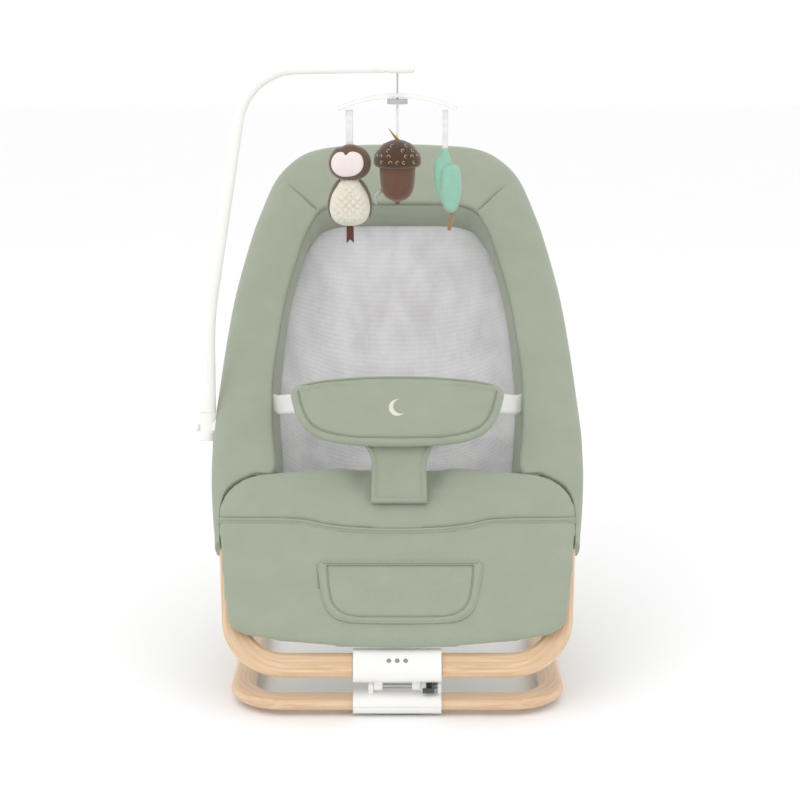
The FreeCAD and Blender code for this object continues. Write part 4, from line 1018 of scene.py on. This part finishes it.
class BOUNCER_OT_owl(bpy.types.Operator):
    """Owl toy: felt head with its face, quilted body, wings, tail and ribbon"""
    bl_idname = "bouncer.owl"
    bl_label = "Owl"

    def execute(self, context):
        place = hanging("owl_swing")
        brown = felt("felt_dark_brown", "#735C4B", "#57453A")
        # Minky plush, cream: a short soft pile quilted in diamonds about 9 mm across.
        cream = cloth_finish("minky_plush_cream", "#E9E4D6", "#D6CFBE", 0.9, weave=0.2, lumps=6.0, fuzz=0.6,
                             rough=0.95, tilt=0.0)
        # Short-pile velour, pale pink: the flat face panel.
        pink = felt("velour_pale_pink", "#F0E7E3", "#E0D3CE")
        head = even([(0, 555.8), (12, 557), (21, 563), (25, 573), (24, 583), (18, 591.5), (9, 596), (3, 597.6),
                     (-4, 597.2), (-10, 594.5), (-17, 592.5), (-23.5, 583), (-25, 573), (-21, 563), (-12, 557)],
                    1.6, closed=True)
        piece("owl_head_felt", stuffed(head, place, puffed(13.5, 16, power=0.9),
                                       puffed(-13.5, 16, power=0.9), level(0.0), 14.0,
                                       step=1.8), brown, "owl_toy", ("owl_head",))
        face = even([(-4, 560.4), (6, 562), (13.5, 567.5), (16.5, 576), (14, 585), (7, 589.4), (0, 589), (-4, 585.6),
                     (-8, 589), (-15, 588), (-20.5, 581), (-21, 572), (-17, 565), (-11, 561.3)], 1.2, closed=True)
        bulge = lambda p: 13.5 * rise(gap_to(p, head, True), 16) ** 0.9
        piece("owl_face_panel", stuffed(face, place, lambda p, d: bulge(p) + 0.2 + 1.1 * rise(d, 1.5),
                                        lambda p, d: bulge(p) - 0.8, lambda p: bulge(p) + 0.1, 1.5, step=1.5),
              pink, "owl_toy")
        body = even([(0, 501.8), (9, 502.6), (18, 507.6), (23, 516), (24, 526), (21, 539), (15, 549), (8.5, 556),
                     (-8.5, 556), (-15, 549), (-21, 539), (-24, 526), (-23, 516), (-18, 507.6), (-9, 502.6)],
                    1.4, closed=True)

        def quilted(p, d):
            a, b = (p[:, 0] + p[:, 1]) / 9.0 * math.pi, (p[:, 0] - p[:, 1]) / 9.0 * math.pi
            stitch = np.maximum(np.exp(-(np.sin(a) / 0.3) ** 2), np.exp(-(np.sin(b) / 0.3) ** 2))
            return 15.0 * rise(d, 15) ** 0.9 - 1.9 * stitch * np.clip(d / 5, 0, 1)

        piece("owl_body_plush", stuffed(body, place, quilted, puffed(-13.0, 15, power=0.9),
                                        level(0.0), 13.0, step=1.3),
              cream, "owl_toy", ("owl_body",))
        wings = []
        for side in (1, -1):
            wing = even(np.array([(11, 557), (17, 553), (23.5, 541), (26.6, 528), (25.6, 517), (22.5, 511), (22, 522),
                                  (19, 538), (13, 549)]) * [side, 1], 1.6, closed=True)
            wings.append(stuffed(wing, place, puffed(2.4, 2.2), puffed(-2.4, 2.2),
                                 level(0.0), 2.0, step=1.6))
        piece("owl_wings", joined(*wings), felt("felt_grey_brown", "#7C7364", "#655D50"),
              "owl_toy")
        tail = np.array([(-4.2, 505), (4.2, 505), (4.6, 481.4), (0, 485.6), (-4.4, 480.6)])
        piece("owl_tail", stuffed(tail, place, puffed(0.7, 0.6), puffed(-0.7, 0.6),
                                  level(0.0), 0.6, step=1.4),
              felt("felt_red_brown", "#6B4238", "#52302A"),
              "owl_toy")
        hung_ribbon("owl_top_ribbon", "owl_swing", 0, 4.2, 596, 637.2, "owl_toy", ("owl_ribbon",),
                    white_ribbon())
        return {"FINISHED"}


class BOUNCER_OT_acorn(bpy.types.Operator):
    """Acorn toy: felt nut and cap with stitched loops, pointed stalk, tag and cord"""
    bl_idname = "bouncer.acorn"
    bl_label = "Acorn"

    def execute(self, context):
        place = hanging("acorn_swing")
        nut = felt("felt_chestnut", "#735343", "#5A4033")
        profile = [(0.3, 526.6), (2.0, 527.2), (3.4, 529.6), (7.0, 531.6), (12.5, 534.6), (17, 540), (19.6, 548),
                   (20.6, 557), (21, 566), (20.5, 572), (15, 574)]
        profile = spline(profile, np.linspace(0, len(profile) - 1, 44))
        piece("acorn_nut_felt", turned(profile, place, 40), nut, "acorn_toy", ("acorn_nut",))
        dark = felt("felt_cap_brown", "#574030", "#3F2D22")
        profile = [(16, 572.4), (22, 570.8), (26.5, 573), (28, 578), (26.6, 585), (22, 592.5), (15, 598.5), (7, 602),
                   (0.3, 603)]
        profile = spline(profile, np.linspace(0, len(profile) - 1, 40))
        piece("acorn_cap_felt", turned(profile, place, 44), dark, "acorn_toy", ("acorn_cap",))
        # Stranded cotton, ecru: loops stitched over the cap in staggered rows.
        ecru = cloth_finish("stranded_cotton_ecru", "#CDBEA2", "#A8987C", 0.6, weave=0.6, lumps=5.0, tilt=0.0)
        loops = []
        for row, (z, count, shift) in enumerate(((578, 15, 0.0), (585, 13, 0.5), (591.5, 10, 0.2), (597, 6, 0.6))):
            radius = np.interp(z, profile[:, 1], profile[:, 0])
            for k in range(count):
                a = (k + shift) * 2 * math.pi / count
                t = np.linspace(0.4, 4.7, 12) + 1.3 * math.sin(7.0 * k + 3.1 * row)
                h = z + 1.7 * np.sin(t)
                r = np.interp(h, profile[:, 1], profile[:, 0]) + 0.3
                turn = a + 0.16 * math.sin(5.0 * k + row) + 1.8 * np.cos(t) / radius
                loops.append(cord_round(place(np.column_stack([r * np.sin(turn), h, r * np.cos(turn)])), 0.38, 5))
        piece("acorn_cap_loops", joined(*loops), ecru, "acorn_toy")
        # The cord hangs straight down from its disc into the cap.
        low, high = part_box("acorn_cord")
        middle = JOINT_AT["acorn_swing"]
        run = bpy.data.curves.new("acorn_cord_twist", "CURVE")
        run.dimensions, run.bevel_depth, run.bevel_resolution = "3D", 0.0013, 3
        line = run.splines.new("NURBS")
        line.points.add(3)
        for point, z in zip(line.points, np.linspace(high.z, low.z, 4)):
            point.co = (middle.x, middle.y, z, 1)
        line.order_u, line.use_endpoint_u = 3, True
        run.use_fill_caps = True
        run.materials.append(white_ribbon())
        cord = bpy.data.objects.new("acorn_cord_twist", run)
        bpy.context.scene.collection.objects.link(cord)
        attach(cord, "acorn_toy")
        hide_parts("acorn_cord")
        # Mustard felt, cut to a point: the stalk.
        mustard = felt("felt_mustard", "#A88A2E", "#7A6220")
        line = even([(3, 600, 2), (-1, 604, 2), (-5, 609, 2), (-10.5, 616, 2)], 0.8)
        piece("acorn_stalk", cord_round(place(line), np.linspace(4.6, 0.5, len(line)), 8, flat=0.5), mustard,
              "acorn_toy")
        # Satin tag, silver grey: a small folded loop sewn in beside the nut.
        grey = cloth_finish("satin_tag_grey", "#C3C7C6", "#A2A7A7", 0.5, weave=0.4, lumps=8.0, rough=0.4, tilt=0.0)
        tag = np.array([(-19.0, 545.5), (-27.5, 541), (-28, 533.5), (-25.5, 526), (-23.5, 527), (-25, 534),
                        (-23.5, 538), (-18, 541.5)])
        piece("acorn_tag", stuffed(tag, place, puffed(0.5, 0.5), puffed(-0.5, 0.5),
                                   level(0.0), 0.4, step=1.4), grey, "acorn_toy")
        return {"FINISHED"}


class BOUNCER_OT_leaf(bpy.types.Operator):
    """Leaf toy: two overlapping felt leaves, stalk and ribbon"""
    bl_idname = "bouncer.leaf"
    bl_label = "Leaf"

    def execute(self, context):
        place = hanging("leaf_swing")
        teal = felt("felt_sea_green", "#9DC9B4", "#82B29C")
        back = even([(1, 527), (-4, 531), (-9, 541), (-12.6, 553), (-13.6, 566), (-13, 575), (-9, 580.5), (-5.5, 585),
                     (-5, 591.5), (-2, 593.6), (3, 593), (4, 586), (7, 580), (8.6, 572), (8, 560), (6, 545)],
                    1.5, closed=True)
        front = even([(6.5, 517.5), (1, 521), (-3.6, 530), (-5.6, 543), (-5.4, 557), (-3.2, 568.5), (3, 573),
                      (11, 573.4), (16.4, 570), (18.6, 556), (18.8, 541), (15.6, 526), (11, 519)], 1.5, closed=True)

        def veined(p, d):
            return 5.2 * rise(d, 6) + 2.0 - 0.7 * channel(p[:, 0] - 6 - 0.04 * (p[:, 1] - 545), 1.0)

        ends = [stuffed(back, place, puffed(4.2, 6, base=-1.5), puffed(-4.2, 6, base=-1.5),
                        level(-1.5), 5.0, step=1.8),
                stuffed(front, place, veined,
                        puffed(-2.2, 6, base=2.0), level(2.0), 5.0, step=1.8)]
        piece("leaf_felt_pair", joined(*ends), teal, "leaf_toy", ("leaf_body",))
        tan = felt("felt_tan", "#AE8660", "#8C6747")
        stalk = np.array([(6.6, 519), (11.4, 519), (9.6, 508), (6.8, 495.6), (2.6, 496.8), (5.0, 508)])
        piece("leaf_stalk", stuffed(stalk, place, puffed(1.5, 1.2), puffed(-1.5, 1.2),
                                    level(0.0), 1.2, step=1.6), tan, "leaf_toy")
        hung_ribbon("leaf_top_ribbon", "leaf_swing", 0, 3.2, 592, 637.2, "leaf_toy", ("leaf_ribbon",),
                    white_ribbon())
        return {"FINISHED"}


class BOUNCER_OT_stage(bpy.types.Operator):
    """Pale floor and backdrop, soft studio light and the camera"""
    bl_idname = "bouncer.stage"
    bl_label = "Stage"

    def execute(self, context):
        stage = context.scene.bouncer_stage
        # Painted seamless backdrop: matt, near white, so that only a soft contact shadow shows.
        material, tree, shader = new_finish("backdrop_paint", {"Roughness": 0.9, "Specular IOR Level": 0.1})
        if tree:
            place = add_node(tree, "TexCoord", {}, {})
            drift = add_node(tree, "TexNoise", {}, {"Vector": place.outputs["Object"], "Scale": 3.0})
            base = list(stage.floor) + [1.0]
            paint(tree, shader, drift.outputs["Fac"], base, [c * 0.99 for c in base[:3]] + [1.0])
        rows = np.array([[(x, y, -0.0005) for x in (-14, 14)] for y in (-14, 14)], float)
        corners, faces = loft(rows, closed_ring=False)
        mesh = bpy.data.meshes.new("floor")
        mesh.from_pydata(corners.tolist(), [], faces)
        mesh.materials.append(material)
        floor = bpy.data.objects.new("floor", mesh)
        context.scene.collection.objects.link(floor)
        world = bpy.data.worlds.new("studio")
        world.use_nodes = True
        world.node_tree.nodes["Background"].inputs[0].default_value = (1.0, 1.0, 1.0, 1)
        world.node_tree.nodes["Background"].inputs[1].default_value = 1.03
        context.scene.world = world
        for name, at, size, power in (("key_softbox", (-1.3, -1.2, 2.3), 1.8, 9.0),
                                      ("fill_softbox", (1.7, -1.5, 1.5), 1.8, 2.0),
                                      ("top_softbox", (0.0, 0.6, 2.6), 1.6, 3.0)):
            light = bpy.data.lights.new(name, "AREA")
            light.size, light.energy = size, power
            lamp = bpy.data.objects.new(name, light)
            lamp.location = at
            lamp.rotation_euler = (Vector((0, 0.25, 0.25)) - Vector(at)).to_track_quat("-Z", "Y").to_euler()
            context.scene.collection.objects.link(lamp)
        camera = bpy.data.objects.new("camera", bpy.data.cameras.new("camera"))
        camera.data.sensor_width, camera.data.lens = 36.0, stage.lens
        camera.data.dof.use_dof = False
        camera.location = (stage.aside, -stage.distance, stage.height)
        camera.rotation_euler = (math.pi / 2 - stage.pitch, 0, 0)
        context.scene.collection.objects.link(camera)
        context.scene.camera = camera
        context.scene.view_settings.view_transform = "Standard"
        return {"FINISHED"}


class BOUNCER_PT_panel(bpy.types.Panel):
    """Everything the bouncer is dressed with"""
    bl_idname = "BOUNCER_PT_panel"
    bl_label = "Baby bouncer seat"
    bl_space_type = "VIEW_3D"
    bl_region_type = "UI"
    bl_category = "Bouncer"

    def draw(self, context):
        for group in (context.scene.bouncer_look, context.scene.bouncer_padding, context.scene.bouncer_stage):
            box = self.layout.box()
            for key in group.__annotations__:
                box.prop(group, key)
        for operator in OPERATORS:
            self.layout.operator(operator.bl_idname)


GROUPS = (("bouncer_look", BouncerLook), ("bouncer_padding", BouncerPadding), ("bouncer_stage", BouncerStage))
OPERATORS = (BOUNCER_OT_frame, BOUNCER_OT_border, BOUNCER_OT_well, BOUNCER_OT_front_panel, BOUNCER_OT_harness,
             BOUNCER_OT_sleeve_dots, BOUNCER_OT_arm_cap, BOUNCER_OT_owl, BOUNCER_OT_acorn, BOUNCER_OT_leaf,
             BOUNCER_OT_stage)


def register():
    for name, group in GROUPS:
        bpy.utils.register_class(group)
        setattr(bpy.types.Scene, name, PointerProperty(type=group))
    for made in OPERATORS + (BOUNCER_PT_panel,):
        bpy.utils.register_class(made)


def unregister():
    for made in reversed(OPERATORS + (BOUNCER_PT_panel,)):
        bpy.utils.unregister_class(made)
    for name, group in GROUPS:
        delattr(bpy.types.Scene, name)
        bpy.utils.unregister_class(group)


def main():
    register()
    for operator in OPERATORS:
        getattr(bpy.ops.bouncer, operator.bl_idname.split(".")[1])()


if __name__ == "__main__":
    main()
